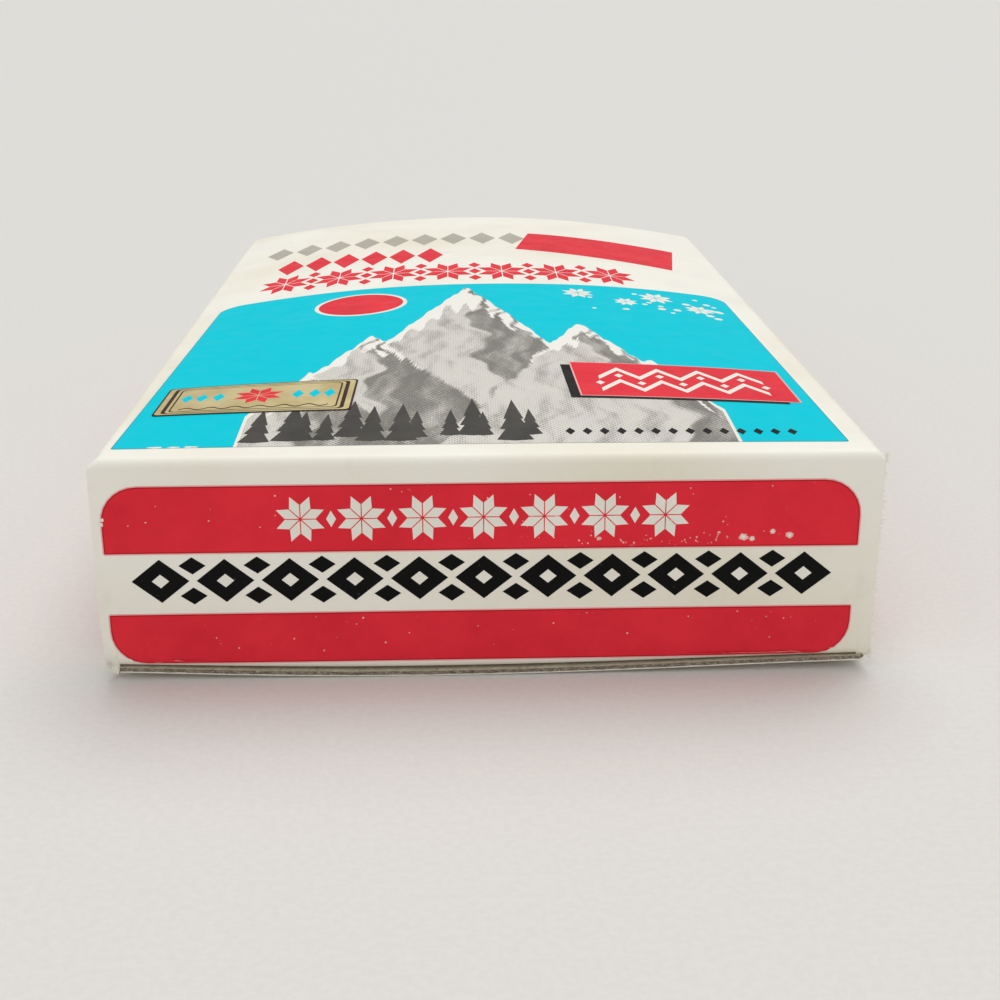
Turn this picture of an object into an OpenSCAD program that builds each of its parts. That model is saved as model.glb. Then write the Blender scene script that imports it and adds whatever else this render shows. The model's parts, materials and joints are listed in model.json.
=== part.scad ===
// Boxed pocket catalytic hand warmer.
// A reverse-tuck carton lies flat, its near end towards -Y and its printed face up.
// Inside lie the warmer with its burner, cap and striker, a folded pouch, a filler and a leaflet.
// The origin is the middle of the footprint, on the surface that the carton lies on.

/* [Carton] */
// Thickness of the paperboard
board_t = 0.55; // [0.4:0.05:0.7]
// Outside radius of the rolled folds
fold_r = 1; // [0.8:0.05:1.3]
// How far the free far edge of the top panel arches up
arch_rise = 3.5; // [1:0.25:5]
// Width of the glued seam strip
seam_w = 12; // [6:0.5:14]
// Room beside the warmer and its striker, on each side
side_room = 2.85; // [2:0.05:6]
// Room in front of the cap, beyond the tuck tab
front_room = 4; // [3.5:0.25:8]
// Room behind the filler
far_room = 6; // [4:0.25:12]
// Room above the folded contents
head_room = 2.4; // [1.2:0.1:6]

/* [End flaps] */
// Reach of a tuck tab into the carton
tab_reach = 7; // [5:0.25:7.5]
// Room between a tuck tab and the panel that it slides along
tab_gap = 0.5; // [0.45:0.05:0.8]
// Corner radius of a tuck tab
tab_corner_r = 5.5; // [2:0.25:6]
// Reach of a dust flap from its fold
dust_reach = 12; // [8:0.25:12.5]
// Height of a dust flap's free end
dust_tip_h = 5.4; // [4:0.2:6]
// Room between an end flap and the dust flaps behind it
dust_gap = 0.3; // [0.3:0.05:0.5]

/* [Foil sticker] */
// Length of the sticker, along X
sticker_w = 19.5; // [12:0.5:24]
// Width of the sticker, along Y
sticker_l = 9.5; // [6:0.5:14]
// Thickness of the foil and its glue
sticker_t = 0.12; // [0.08:0.01:0.3]
// Distance of the sticker's middle from the left side
sticker_inset = 13; // [12:0.5:20]
// Distance of the sticker's middle from the near end
sticker_back = 17.5; // [12:0.5:40]

/* [Warmer case] */
// Width of the fuel tank
tank_w = 58; // [50:0.5:66]
// Length of the fuel tank
tank_l = 68; // [60:0.5:80]
// Thickness of the fuel tank
tank_t = 14; // [13:0.25:17]
// Sheet metal thickness of the tank and the cap
sheet_t = 0.5; // [0.35:0.05:0.6]
// Radius of the long rounded edges
edge_r = 5; // [3:0.25:5.5]
// Radius of the corners seen from above
corner_r = 9; // [6:0.5:10]
// Width of the smooth band round the tank's mouth
band_w = 7; // [4:0.5:9]

/* [Cap and burner] */
// Length of the cap
cap_l = 20; // [19:0.25:21]
// Diameter of a small vent hole
vent_d = 1.6; // [1.2:0.1:1.9]
// Diameter of the middle vent hole
vent_mid_d = 3.4; // [2.4:0.2:4]
// Radius of the inner ring of vent holes
vent_ring_r = 3.9; // [3.6:0.1:4.2]
// Width of the burner frame
burner_w = 38; // [30:0.5:42]
// Length of the burner frame beyond the collar
burner_l = 14; // [12:0.25:14.5]
// Thickness of the burner frame
burner_t = 9.5; // [8:0.25:10]
// Width of the two pale lugs that hold the burner's window
lug_w = 4; // [3:0.25:5]

/* [Striker] */
// Outside diameter of the striker's tube
striker_d = 3.6; // [3.2:0.1:3.8]
// Length of the striker's tube
striker_l = 44; // [32:0.5:50]
// Outside diameter of the pull ring
ring_d = 8; // [6.5:0.25:9]
// Wire diameter of the pull ring
ring_wire = 1; // [0.8:0.05:1.2]

/* [Loose contents] */
// Width of the folded pouch
pouch_w = 56; // [40:0.5:60]
// Length of the folded pouch
pouch_l = 46; // [36:0.5:48]
// Thickness of the folded pouch
pouch_t = 2.8; // [2:0.1:4]
// Diameter of the filler's bottle
filler_d = 10; // [8:0.25:14]
// Length of the filler's bottle
filler_l = 27; // [20:0.5:30]
// Thickness of the folded leaflet
leaflet_t = 0.8; // [0.5:0.1:1.4]

/* [Hidden] */
$fn = 48;

// Clearance at which a loose piece rests on what carries it
rest_gap = 0.3;
// Clearance round the soft pieces inside the tank
slip = 0.3;
filler_gap = 1;

// The carton is made to fit what it holds
carton_w = tank_w + 2 * (striker_d + side_room + board_t);
carton_l = tab_reach + front_room + cap_l + tank_l + filler_gap + filler_d + far_room;
carton_h = 2 * board_t + 3 * rest_gap + tank_t + pouch_t + leaflet_t + head_room;
half_w = carton_w / 2;
half_l = carton_l / 2;
flap_side_gap = 0.15;
hinge_z = carton_h - fold_r;

// End flap, tuck tab and dust flaps, all as at the near end
tab_z = board_t + tab_gap;
tab_fold_r = board_t + 0.35;
dust_fold_r = board_t + 0.25;
dust_y = -half_l + board_t + dust_gap;
side_front_y = dust_y + dust_fold_r;
// A dust flap's slanting edge falls back this much faster than the end flap swings over it
dust_slope = 0.65;
// How far a dust flap's root stops short of the two folds across it
dust_top_short = 0.9;
dust_low_short = 0.8;
dust_top_z = hinge_z - dust_top_short;
dust_low_z = tab_z + board_t + dust_low_short;

// Arch of the top panel
arch_steps_x = 30;
arch_steps_y = 22;
arch_span = carton_w - 2 * fold_r;
arch_front_y = -half_l + fold_r;
arch_back_y = half_l - 0.1;

// Warmer, lying on the bottom panel with its cap towards the near end
case_z = board_t + rest_gap + tank_t / 2;
striker_r = striker_d / 2;
cap_front_y = -half_l + tab_reach + front_room;
mouth_y = cap_front_y + cap_l;
tank_back_y = mouth_y + tank_l;

// Burner on the tank's collar
collar_t = 0.8;
neck_w = burner_w - 2.4;
neck_t = burner_t - 2.4;
neck_l = 6;
gasket_t = 0.6;
mesh_t = 0.3;
burner_front_y = mouth_y - burner_l;

// Striker along the left side of the tank
striker_x = -tank_w / 2 - striker_r;
rod_r = striker_r - 0.8;
wick_l = 5;
wick_room = 3;
rod_l = striker_l - wick_l - wick_room;
eye_l = 3.2;
eye_hole_y = 1.6;
ring_y = mouth_y - eye_l - ring_d / 2 + eye_hole_y;
flint_r = 1;
flint_gap = 1;

// Pouch and leaflet on the warmer, filler behind it
pouch_z = case_z + tank_t / 2 + rest_gap;
pouch_front_y = tank_back_y - pouch_l - 3;
hem_w = 8;
leaflet_z = pouch_z + pouch_t + rest_gap;
leaflet_w = pouch_w - 14;
leaflet_l = pouch_l - 12;
leaflet_inset = 2;
filler_y = tank_back_y + filler_gap + filler_d / 2;
filler_z = board_t + rest_gap + filler_d / 2;
filler_cap_l = 9;

// ---------- shared shapes ----------

// Rectangle about the origin with rounded corners
module round_rect(w, h, r) {
    square([w - 2 * r, h], center = true);
    square([w, h - 2 * r], center = true);
    for (x = [-1, 1], y = [-1, 1])
        translate([x * (w / 2 - r), y * (h / 2 - r)])
            circle(r);
}

// Rectangle from y = 0 to y = l, rounded at its y = l end
module round_end(w, l, r) {
    translate([-w / 2, 0])
        square([w, l - r]);
    translate([-w / 2 + r, 0])
        square([w - 2 * r, l]);
    intersection() {
        for (x = [-1, 1])
            translate([x * (w / 2 - r), l - r])
                circle(r);
        translate([-w / 2, 0])
            square([w, l]);
    }
}

// Bar along Y from y0 to y1, with a rounded section of width w and thickness t
module bar(w, t, r, y0, y1) {
    translate([0, y1, 0])
        rotate([90, 0, 0])
            linear_extrude(y1 - y0)
                round_rect(w, t, r);
}

// Case form: a bar from y = 0 to y = l, with its end corners rounded seen from above
module case_form(w, t, l, edge, corner) {
    intersection() {
        bar(w, t, edge, 0, l);
        translate([0, 0, -t / 2])
            linear_extrude(t)
                round_end(w, l, corner);
    }
}

// Quarter of a rolled fold along X, from the top panel down to the end flap
module near_fold(w, r) {
    intersection() {
        rotate([90, 0, 90])
            linear_extrude(w, center = true)
                difference() {
                    circle(r);
                    circle(r - board_t);
                }
        translate([-w / 2, -r, 0])
            cube([w, r, r]);
    }
}

// Point mirror of the near end: the far flap hangs on the bottom panel and tucks in at the top
module at_far_end() {
    translate([0, 0, carton_h])
        rotate([180, 0, 0])
            children();
}

// ---------- carton ----------

// Height that the arch adds at a point of the top panel
function arch(x, y) =
    let (u = (x + arch_span / 2) / arch_span,
         v = (y - arch_front_y) / (arch_back_y - arch_front_y))
    arch_rise * (1 - pow(1 - v, 3)) * 4 * u * (1 - u);

// Sheet of thickness t that follows the arch over a grid of points, lifted by z
module arched_sheet(px, py, z, t) {
    nx = len(px);
    ny = len(py);
    count = nx * ny;
    points = [
        for (side = [0, 1], j = [0 : ny - 1], i = [0 : nx - 1])
            [px[i], py[j], z + arch(px[i], py[j]) - side * t]];
    rim = concat(
        [for (i = [0 : nx - 1]) i],
        [for (j = [1 : ny - 1]) j * nx + nx - 1],
        [for (i = [nx - 2 : -1 : 0]) (ny - 1) * nx + i],
        [for (j = [ny - 2 : -1 : 1]) j * nx]);
    faces = concat(
        [for (j = [0 : ny - 2], i = [0 : nx - 2], half = [0, 1])
            let (a = j * nx + i)
            half == 0 ? [a, a + nx, a + nx + 1] : [a, a + nx + 1, a + 1]],
        [for (j = [0 : ny - 2], i = [0 : nx - 2], half = [0, 1])
            let (a = count + j * nx + i)
            half == 0 ? [a, a + nx + 1, a + nx] : [a, a + 1, a + nx + 1]],
        [for (k = [0 : len(rim) - 1], half = [0, 1])
            let (a = rim[k], b = rim[(k + 1) % len(rim)])
            half == 0 ? [a, b, b + count] : [a, b + count, a + count]]);
    polyhedron(points, faces);
}

module top_panel() {
    color("#f2efe4") {
        arched_sheet(
            [for (i = [0 : arch_steps_x]) arch_span * (i / arch_steps_x - 0.5)],
            [for (j = [0 : arch_steps_y])
                arch_front_y + (arch_back_y - arch_front_y) * j / arch_steps_y],
            carton_h, board_t);
        translate([0, arch_front_y, hinge_z])
            near_fold(carton_w - 2 * flap_side_gap, fold_r);
    }
}

module bottom_panel() {
    color("#e6e1d4") {
        translate([-arch_span / 2, -half_l + 0.1, 0])
            cube([arch_span, carton_l - fold_r - 0.1, board_t]);
        at_far_end()
            translate([0, arch_front_y, hinge_z])
                near_fold(carton_w - 2 * flap_side_gap, fold_r);
    }
}

// Rolled fold along a side panel's top edge, from y0 to y1
module side_fold(y0, y1) {
    translate([0, (y0 + y1) / 2, hinge_z])
        rotate([0, 0, -90])
            near_fold(y1 - y0, fold_r);
}

// Left side panel with its two long folds and the folds that carry its dust flaps
module side_panel() {
    back_y = -side_front_y;
    translate([-half_w, side_front_y, fold_r])
        cube([board_t, back_y - side_front_y, carton_h - 2 * fold_r]);
    translate([-half_w + fold_r, 0, 0])
        side_fold(arch_front_y, back_y);
    translate([-half_w + fold_r, 0, 0])
        at_far_end()
            side_fold(arch_front_y, back_y);
    dust_fold();
    at_far_end()
        dust_fold();
}

// Upright rolled fold between the left side panel and its near dust flap
module dust_fold() {
    translate([-half_w + dust_fold_r, side_front_y, dust_low_z])
        intersection() {
            linear_extrude(dust_top_z - dust_low_z)
                difference() {
                    circle(dust_fold_r);
                    circle(dust_fold_r - board_t);
                }
            translate([-dust_fold_r, -dust_fold_r, 0])
                cube([dust_fold_r, dust_fold_r, carton_h]);
        }
}

module side_panel_left() {
    color("#f4f1e8")
        side_panel();
}

module side_panel_right() {
    color("#f4f1e8")
        mirror([1, 0, 0])
            side_panel();
}

// Strip of the blank that is glued inside the right side panel
module glue_seam_flap() {
    color("#b9ad98")
        translate([half_w - 2 * board_t, -half_l + dust_reach, fold_r + 0.6])
            cube([board_t, carton_l - 2 * dust_reach, seam_w]);
}

module foil_sticker() {
    sticker_lift = 0.02;
    x0 = -half_w + sticker_inset;
    y0 = -half_l + sticker_back;
    color("#c8a24a")
        arched_sheet(
            [for (i = [0 : 8]) x0 + sticker_w * (i / 8 - 0.5)],
            [for (j = [0 : 4]) y0 + sticker_l * (j / 4 - 0.5)],
            carton_h + sticker_t + sticker_lift, sticker_t);
}

// ---------- end flaps ----------

module end_flap() {
    w = carton_w - 2 * flap_side_gap;
    low_z = tab_z + tab_fold_r;
    translate([-w / 2, -half_l, low_z])
        cube([w, board_t, hinge_z - low_z]);
}

// Tab with rounded corners and the rolled fold that joins it to its end flap
module tuck_tab() {
    w = carton_w - 2 * flap_side_gap - 2 * fold_r;
    translate([0, -half_l + tab_fold_r, tab_z]) {
        linear_extrude(board_t)
            round_end(w, tab_reach - tab_fold_r, min(tab_corner_r, tab_reach - tab_fold_r));
        translate([0, 0, tab_fold_r])
            mirror([0, 0, 1])
                near_fold(w, tab_fold_r);
    }
}

// Dust flap of the left side: it narrows towards its free end, away from both folds
module dust_flap() {
    tip_top_z = dust_top_z - dust_slope * dust_reach;
    tip_low_z = tip_top_z - dust_tip_h;
    corner = 1.2;
    translate([-half_w + dust_fold_r, dust_y + board_t, 0])
        rotate([90, 0, 0])
            linear_extrude(board_t)
                polygon([
                    [0, dust_low_z],
                    [corner, dust_low_z],
                    [dust_reach - corner, tip_low_z - corner * 0.2],
                    [dust_reach, tip_low_z + corner],
                    [dust_reach, tip_top_z - corner],
                    [dust_reach - corner, tip_top_z + corner * dust_slope],
                    [0, dust_top_z]]);
}

module front_flap() {
    color("#eeeadd")
        end_flap();
}

module front_tuck_tab() {
    color("#e9e4d6")
        tuck_tab();
}

module front_dust_flap_left() {
    color("#cfc6b2")
        dust_flap();
}

module front_dust_flap_right() {
    color("#cfc6b2")
        mirror([1, 0, 0])
            dust_flap();
}

module rear_flap() {
    color("#eeeadd")
        at_far_end()
            end_flap();
}

module rear_tuck_tab() {
    color("#e9e4d6")
        at_far_end()
            tuck_tab();
}

module rear_dust_flap_left() {
    color("#cfc6b2")
        at_far_end()
            dust_flap();
}

module rear_dust_flap_right() {
    color("#cfc6b2")
        mirror([1, 0, 0])
            at_far_end()
                dust_flap();
}

// ---------- warmer ----------

// Places a shape at the tank's mouth, with +Y towards the tank's closed end
module at_mouth() {
    translate([0, mouth_y, case_z])
        children();
}

// Places a shape at the tank's mouth, with +Y towards the cap's closed end
module at_mouth_forward() {
    at_mouth()
        mirror([0, 1, 0])
            children();
}

module tank_case() {
    color("#b9bcbf")
        at_mouth()
            difference() {
                case_form(tank_w, tank_t, tank_l, edge_r, corner_r);
                translate([0, -sheet_t, 0])
                    case_form(tank_w - 2 * sheet_t, tank_t - 2 * sheet_t, tank_l,
                        edge_r - sheet_t, corner_r - sheet_t);
            }
}

// Smooth inner band that lines the tank's mouth and stands a little way out of it for the cap
module tank_band() {
    w = tank_w - 2 * sheet_t;
    t = tank_t - 2 * sheet_t;
    lip = 0.9;
    color("#d7d9da")
        at_mouth()
            difference() {
                bar(w, t, edge_r - sheet_t, -lip, band_w);
                bar(w - 2 * sheet_t, t - 2 * sheet_t, edge_r - 2 * sheet_t, -lip - 1, band_w + 1);
            }
}

module cotton_wadding() {
    inset = 2 * sheet_t + slip;
    color("#f5f3ea")
        at_mouth()
            translate([0, band_w + slip, 0])
                case_form(tank_w - 2 * inset, tank_t - 2 * inset, tank_l - band_w - slip - inset,
                    edge_r - inset, corner_r - inset);
}

module felt_pad() {
    inset = 2 * sheet_t + slip;
    color("#dcd6c4")
        at_mouth()
            bar(tank_w - 2 * inset, tank_t - 2 * inset, edge_r - inset,
                collar_t + slip, band_w);
}

// Plate that closes the tank's mouth, with the oval neck that the burner sits on
module collar_plate() {
    inset = 2 * sheet_t;
    color("#c9cbcc")
        at_mouth()
            difference() {
                union() {
                    bar(tank_w - 2 * inset, tank_t - 2 * inset, edge_r - inset, 0, collar_t);
                    bar(neck_w, neck_t, neck_t / 2 - 0.1, -neck_l, collar_t);
                }
                bar(neck_w - 2 * sheet_t, neck_t - 2 * sheet_t, neck_t / 2 - 0.1 - sheet_t,
                    -neck_l - 1, collar_t + 1);
            }
}

// Fibre seal round the neck, between the collar plate and the burner
module collar_gasket() {
    color("#8d2f22")
        at_mouth()
            difference() {
                bar(burner_w, burner_t, burner_t / 2 - 0.1, -gasket_t, 0);
                bar(neck_w + 0.4, neck_t + 0.4, neck_t / 2 - 0.1, -gasket_t - 1, 1);
            }
}

// Sheet metal frame with a long window on each face, open at the neck
module burner_frame() {
    window_w = burner_w - 2 * lug_w - 3;
    window_l = burner_l - neck_l - 2.4;
    depth = burner_l - gasket_t;
    color("#c4b27a")
        translate([0, burner_front_y, case_z])
            difference() {
                bar(burner_w, burner_t, burner_t / 2 - 0.1, 0, depth);
                bar(burner_w - 2 * sheet_t, burner_t - 2 * sheet_t, burner_t / 2 - 0.1 - sheet_t,
                    sheet_t, depth + 1);
                translate([0, (burner_l - neck_l + sheet_t) / 2, 0])
                    linear_extrude(burner_t * 2, center = true)
                        round_rect(window_w, window_l, 1.5);
            }
}

// Two pale clips, one round each end of the burner frame
module burner_lugs() {
    grip = 0.4;
    depth = burner_l - gasket_t - 3;
    color("#ece7d8")
        translate([0, burner_front_y, case_z])
            for (side = [0, 1])
                mirror([side, 0, 0])
                    intersection() {
                        difference() {
                            bar(burner_w + 2 * grip, burner_t + 2 * grip,
                                burner_t / 2 - 0.1 + grip, 1, 1 + depth);
                            bar(burner_w, burner_t, burner_t / 2 - 0.1, 0, depth + 2);
                        }
                        translate([burner_w / 2 - lug_w, 0, -burner_t])
                            cube([lug_w + 1, burner_l, 2 * burner_t]);
                    }
}

// Wire mesh sheets that back the two windows
module burner_mesh() {
    w = burner_w - 2 * lug_w - 2;
    l = burner_l - neck_l - sheet_t - 0.4;
    pitch = 2.2;
    hole = 1.3;
    rows = floor((l - 0.8) / pitch);
    columns = floor((w - 0.8) / pitch);
    color("#6e6a60")
        translate([0, burner_front_y + sheet_t + 0.1 + l / 2, case_z])
            for (side = [0, 1])
                mirror([0, 0, side])
                    translate([0, 0, burner_t / 2 - sheet_t - mesh_t / 2])
                        difference() {
                            cube([w, l, mesh_t], center = true);
                            for (i = [1 : columns], j = [1 : rows])
                                translate([(i - (columns + 1) / 2) * pitch,
                                    (j - (rows + 1) / 2) * pitch, 0])
                                    cube([hole, hole, 2 * mesh_t], center = true);
                        }
}

module catalyst_pad() {
    w = burner_w - 2 * lug_w - 1;
    depth = burner_l - neck_l - sheet_t - 0.8;
    t = burner_t - 2 * (sheet_t + mesh_t + 0.15);
    color("#b5452f")
        translate([0, burner_front_y + sheet_t + 0.3, case_z])
            bar(w, t, 1.2, 0, depth);
}

// Cap: closed at its front, with the round pattern of vent holes through both faces
module cap_shell() {
    color("#c2c5c8")
        at_mouth_forward()
            translate([0, rest_gap, 0])
                difference() {
                    case_form(tank_w, tank_t, cap_l - rest_gap, edge_r, corner_r);
                    translate([0, -sheet_t, 0])
                        case_form(tank_w - 2 * sheet_t, tank_t - 2 * sheet_t, cap_l - rest_gap,
                            edge_r - sheet_t, corner_r - sheet_t);
                    translate([0, cap_l / 2, 0])
                        vent_pattern();
                }
}

module vent_pattern() {
    cylinder(h = 2 * tank_t, d = vent_mid_d, center = true);
    for (ring = [1, 2], k = [0 : 6 * ring - 1])
        rotate(60 * k / ring)
            translate([ring * vent_ring_r - 0.5 * (ring - 1), 0, 0])
                cylinder(h = 2 * tank_t, d = vent_d, center = true);
}

// ---------- striker ----------

module striker_tube() {
    color("#b0b3b6")
        translate([striker_x, mouth_y, case_z])
            difference() {
                rotate([-90, 0, 0])
                    cylinder(h = striker_l, r = striker_r);
                translate([0, -1, 0])
                    rotate([-90, 0, 0])
                        cylinder(h = striker_l, r = striker_r - 0.4);
            }
}

// Rod with a round head that closes the tube's mouth, and a flat eye for the ring
module striker_rod() {
    head_t = 0.9;
    color("#9b7d3f")
        translate([striker_x, mouth_y, case_z]) {
            rotate([-90, 0, 0])
                translate([0, 0, -head_t - 0.1]) {
                    cylinder(h = rod_l + head_t + 0.1, r = rod_r);
                    cylinder(h = head_t, r = striker_r);
                }
            translate([0, -eye_l / 2, 0])
                difference() {
                    cube([2.4, eye_l, 1], center = true);
                    translate([0, eye_hole_y - eye_l / 2 - ring_wire / 2, 0])
                        cylinder(h = 2, d = ring_wire + 0.6, center = true);
                }
        }
}

module striker_ring() {
    color("#8f9295")
        translate([striker_x, ring_y, case_z])
            rotate([0, 90, 0])
                rotate_extrude()
                    translate([(ring_d - ring_wire) / 2, 0])
                        circle(d = ring_wire, $fn = 24);
}

module striker_wick() {
    color("#efeadb")
        translate([striker_x, mouth_y + rod_l, case_z])
            rotate([-90, 0, 0])
                cylinder(h = wick_l, r = rod_r);
}

// Sparking rod pressed into a flat on the tank's left side, behind the tube
module flint_strip() {
    color("#4a4a4c")
        translate([striker_x + striker_r - flint_r, mouth_y + striker_l + flint_gap, case_z])
            rotate([-90, 0, 0])
                cylinder(h = tank_l - striker_l - corner_r - 2 * flint_gap, r = flint_r);
}

// ---------- loose contents ----------

module pouch_body() {
    color("#7d1f25")
        translate([0, pouch_front_y + hem_w, pouch_z + pouch_t / 2])
            bar(pouch_w, pouch_t, pouch_t / 2 - 0.05, 0, pouch_l - hem_w);
}

module pouch_hem() {
    color("#8c262c")
        translate([0, pouch_front_y, pouch_z + pouch_t / 2])
            bar(pouch_w + 1, pouch_t + 0.2, pouch_t / 2, 0, hem_w);
}

module filler_bottle() {
    color("#e8e6df")
        translate([-(filler_l + filler_cap_l) / 2, filler_y, filler_z])
            rotate([0, 90, 0])
                difference() {
                    union() {
                        cylinder(h = filler_l, d = filler_d);
                        cylinder(h = filler_l + 5, d = filler_d - 4);
                    }
                    translate([0, 0, 0.8])
                        cylinder(h = filler_l - 1.6, d = filler_d - 1.6);
                    cylinder(h = filler_l + 6, d = 1.6);
                }
}

module filler_cap() {
    color("#b52a2c")
        translate([-(filler_l + filler_cap_l) / 2 + filler_l, filler_y, filler_z])
            rotate([0, 90, 0])
                difference() {
                    cylinder(h = filler_cap_l, d = filler_d - 1);
                    translate([0, 0, -1])
                        cylinder(h = 6.2, d = filler_d - 3.8);
                }
}

module leaflet() {
    color("#f6f4ec")
        translate([0, pouch_front_y + hem_w + leaflet_inset, leaflet_z + leaflet_t / 2])
            bar(leaflet_w, leaflet_t, leaflet_t / 2 - 0.05, 0, leaflet_l);
}

top_panel();
bottom_panel();
side_panel_left();
side_panel_right();
glue_seam_flap();
foil_sticker();
front_flap();
front_tuck_tab();
front_dust_flap_left();
front_dust_flap_right();
rear_flap();
rear_tuck_tab();
rear_dust_flap_left();
rear_dust_flap_right();
tank_case();
tank_band();
cotton_wadding();
felt_pad();
collar_plate();
collar_gasket();
burner_frame();
burner_lugs();
burner_mesh();
catalyst_pad();
cap_shell();
striker_tube();
striker_rod();
striker_ring();
striker_wick();
flint_strip();
pouch_body();
pouch_hem();
filler_bottle();
filler_cap();
leaflet();
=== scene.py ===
"""The look of a boxed pocket hand warmer: its carton, the print on it, the warmer and the loose contents."""
import json
import logging
from dataclasses import dataclass
from enum import Enum
from typing import Callable

import bmesh
import bpy
import numpy as np
from mathutils import Matrix, Vector


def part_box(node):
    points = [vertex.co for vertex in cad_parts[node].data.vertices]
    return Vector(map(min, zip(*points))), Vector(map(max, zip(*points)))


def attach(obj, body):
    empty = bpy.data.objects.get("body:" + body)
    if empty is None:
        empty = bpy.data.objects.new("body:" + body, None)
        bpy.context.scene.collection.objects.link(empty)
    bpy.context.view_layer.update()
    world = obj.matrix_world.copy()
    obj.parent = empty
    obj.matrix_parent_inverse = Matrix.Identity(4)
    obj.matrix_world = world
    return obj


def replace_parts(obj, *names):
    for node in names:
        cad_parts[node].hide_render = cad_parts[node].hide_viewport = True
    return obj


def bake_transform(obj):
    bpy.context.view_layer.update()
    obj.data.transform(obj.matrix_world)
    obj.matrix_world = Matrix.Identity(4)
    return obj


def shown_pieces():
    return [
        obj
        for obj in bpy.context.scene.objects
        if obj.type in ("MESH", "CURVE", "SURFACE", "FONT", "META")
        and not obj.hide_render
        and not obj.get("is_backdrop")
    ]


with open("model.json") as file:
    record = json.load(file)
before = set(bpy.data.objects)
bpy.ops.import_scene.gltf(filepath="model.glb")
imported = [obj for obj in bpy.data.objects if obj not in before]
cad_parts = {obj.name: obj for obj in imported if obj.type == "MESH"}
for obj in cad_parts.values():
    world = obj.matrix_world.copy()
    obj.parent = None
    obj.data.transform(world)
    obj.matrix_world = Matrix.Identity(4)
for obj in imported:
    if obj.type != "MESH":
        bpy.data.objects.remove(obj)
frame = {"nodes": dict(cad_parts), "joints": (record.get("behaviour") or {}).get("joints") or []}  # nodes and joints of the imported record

MM = 0.001
LOG = logging.getLogger("boxed_warmer")
Socket = bpy.types.NodeSocket
Value = Socket | float | str | tuple
Array = np.ndarray
Piece = bpy.types.Object
Materials = list[bpy.types.Material]
Pair = tuple[float, float]
Triple = tuple[float, float, float]
Surface = Callable[[Array, Array, float], Array]


# ---------- numbers and meshes ----------


def ramp(low: float, high: float, value: Array) -> Array:
    """Smooth step from 0 at low to 1 at high: t * t * (3 - 2 t) of the clipped share t."""
    t = np.clip((np.asarray(value, float) - low) / (high - low), 0, 1)
    return t * t * (3 - 2 * t)


def linear(code: str, alpha: float = 1.0) -> tuple[float, float, float, float]:
    """Turns an sRGB hex colour into the linear colour that a shader takes.

    Args:
        code: Six hex digits after a hash sign.
        alpha: Opacity, passed through.

    Returns:
        Linear red, green and blue, and alpha.
    """
    rgb = np.array([int(code[i:i + 2], 16) for i in (1, 3, 5)]) / 255
    rgb = np.where(rgb <= 0.04045, rgb / 12.92, ((rgb + 0.055) / 1.055) ** 2.4)
    return (*map(float, rgb), alpha)


def joint(name: str) -> dict:
    """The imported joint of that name."""
    return next(j for j in frame["joints"] if j["name"] == name)


def node_box(name: str) -> tuple[Array, Array]:
    """Lowest and highest corner of a CAD node, in millimetres."""
    low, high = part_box(name)
    return np.array(low) / MM, np.array(high) / MM


def make_object(
    name: str,
    points: Array,
    faces: list[Array],
    materials: Materials,
    slots: Array | None = None,
    crease: float = 35.0,
) -> Piece:
    """Makes a mesh object at the origin, with its place in its mesh.

    Args:
        name: The piece's name.
        points: Vertices in millimetres, (N, 3).
        faces: Arrays of vertex numbers, each (M, 3) or (M, 4).
        materials: Finishes in slot order.
        slots: Material slot of each face, in the order of the faces.
        crease: Angle in degrees above which an edge is sharp.

    Returns:
        The new object.
    """
    mesh = bpy.data.meshes.new(name)
    mesh.from_pydata((np.asarray(points, float) * MM).tolist(), [], [f for a in faces for f in a.tolist()])
    for material in materials:
        mesh.materials.append(material)
    if slots is not None:
        mesh.polygons.foreach_set("material_index", np.asarray(slots, np.int32))
    mesh.polygons.foreach_set("use_smooth", np.ones(len(mesh.polygons), bool))
    mesh.set_sharp_from_angle(angle=np.radians(crease))
    mesh.update()
    made = bpy.data.objects.new(name, mesh)
    bpy.context.scene.collection.objects.link(made)
    return made


def settle(piece: Piece, body: str, slot: str, *nodes: str) -> Piece:
    """Hangs a piece on its body and hides the CAD nodes that it replaces."""
    if nodes:
        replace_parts(piece, *nodes)
    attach(piece, body)
    return piece


def point_values(piece: Piece, name: str, values: Array) -> None:
    """Stores one number per vertex, for a material to read."""
    attribute = piece.data.attributes.new(name, "FLOAT", "POINT")
    attribute.data.foreach_set("value", np.asarray(values, np.float32).ravel())


def grid_faces(rows: int, cols: int, wrap: bool = False, start: int = 0) -> Array:
    """Quads of a grid of rows x cols points, closed round its columns if wrap is set."""
    number = start + np.arange(rows * cols).reshape(rows, cols)
    right = np.roll(number, -1, axis=1) if wrap else number[:, 1:]
    left = number if wrap else number[:, :-1]
    return np.stack([left[:-1], right[:-1], right[1:], left[1:]], -1).reshape(-1, 4)


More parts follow.
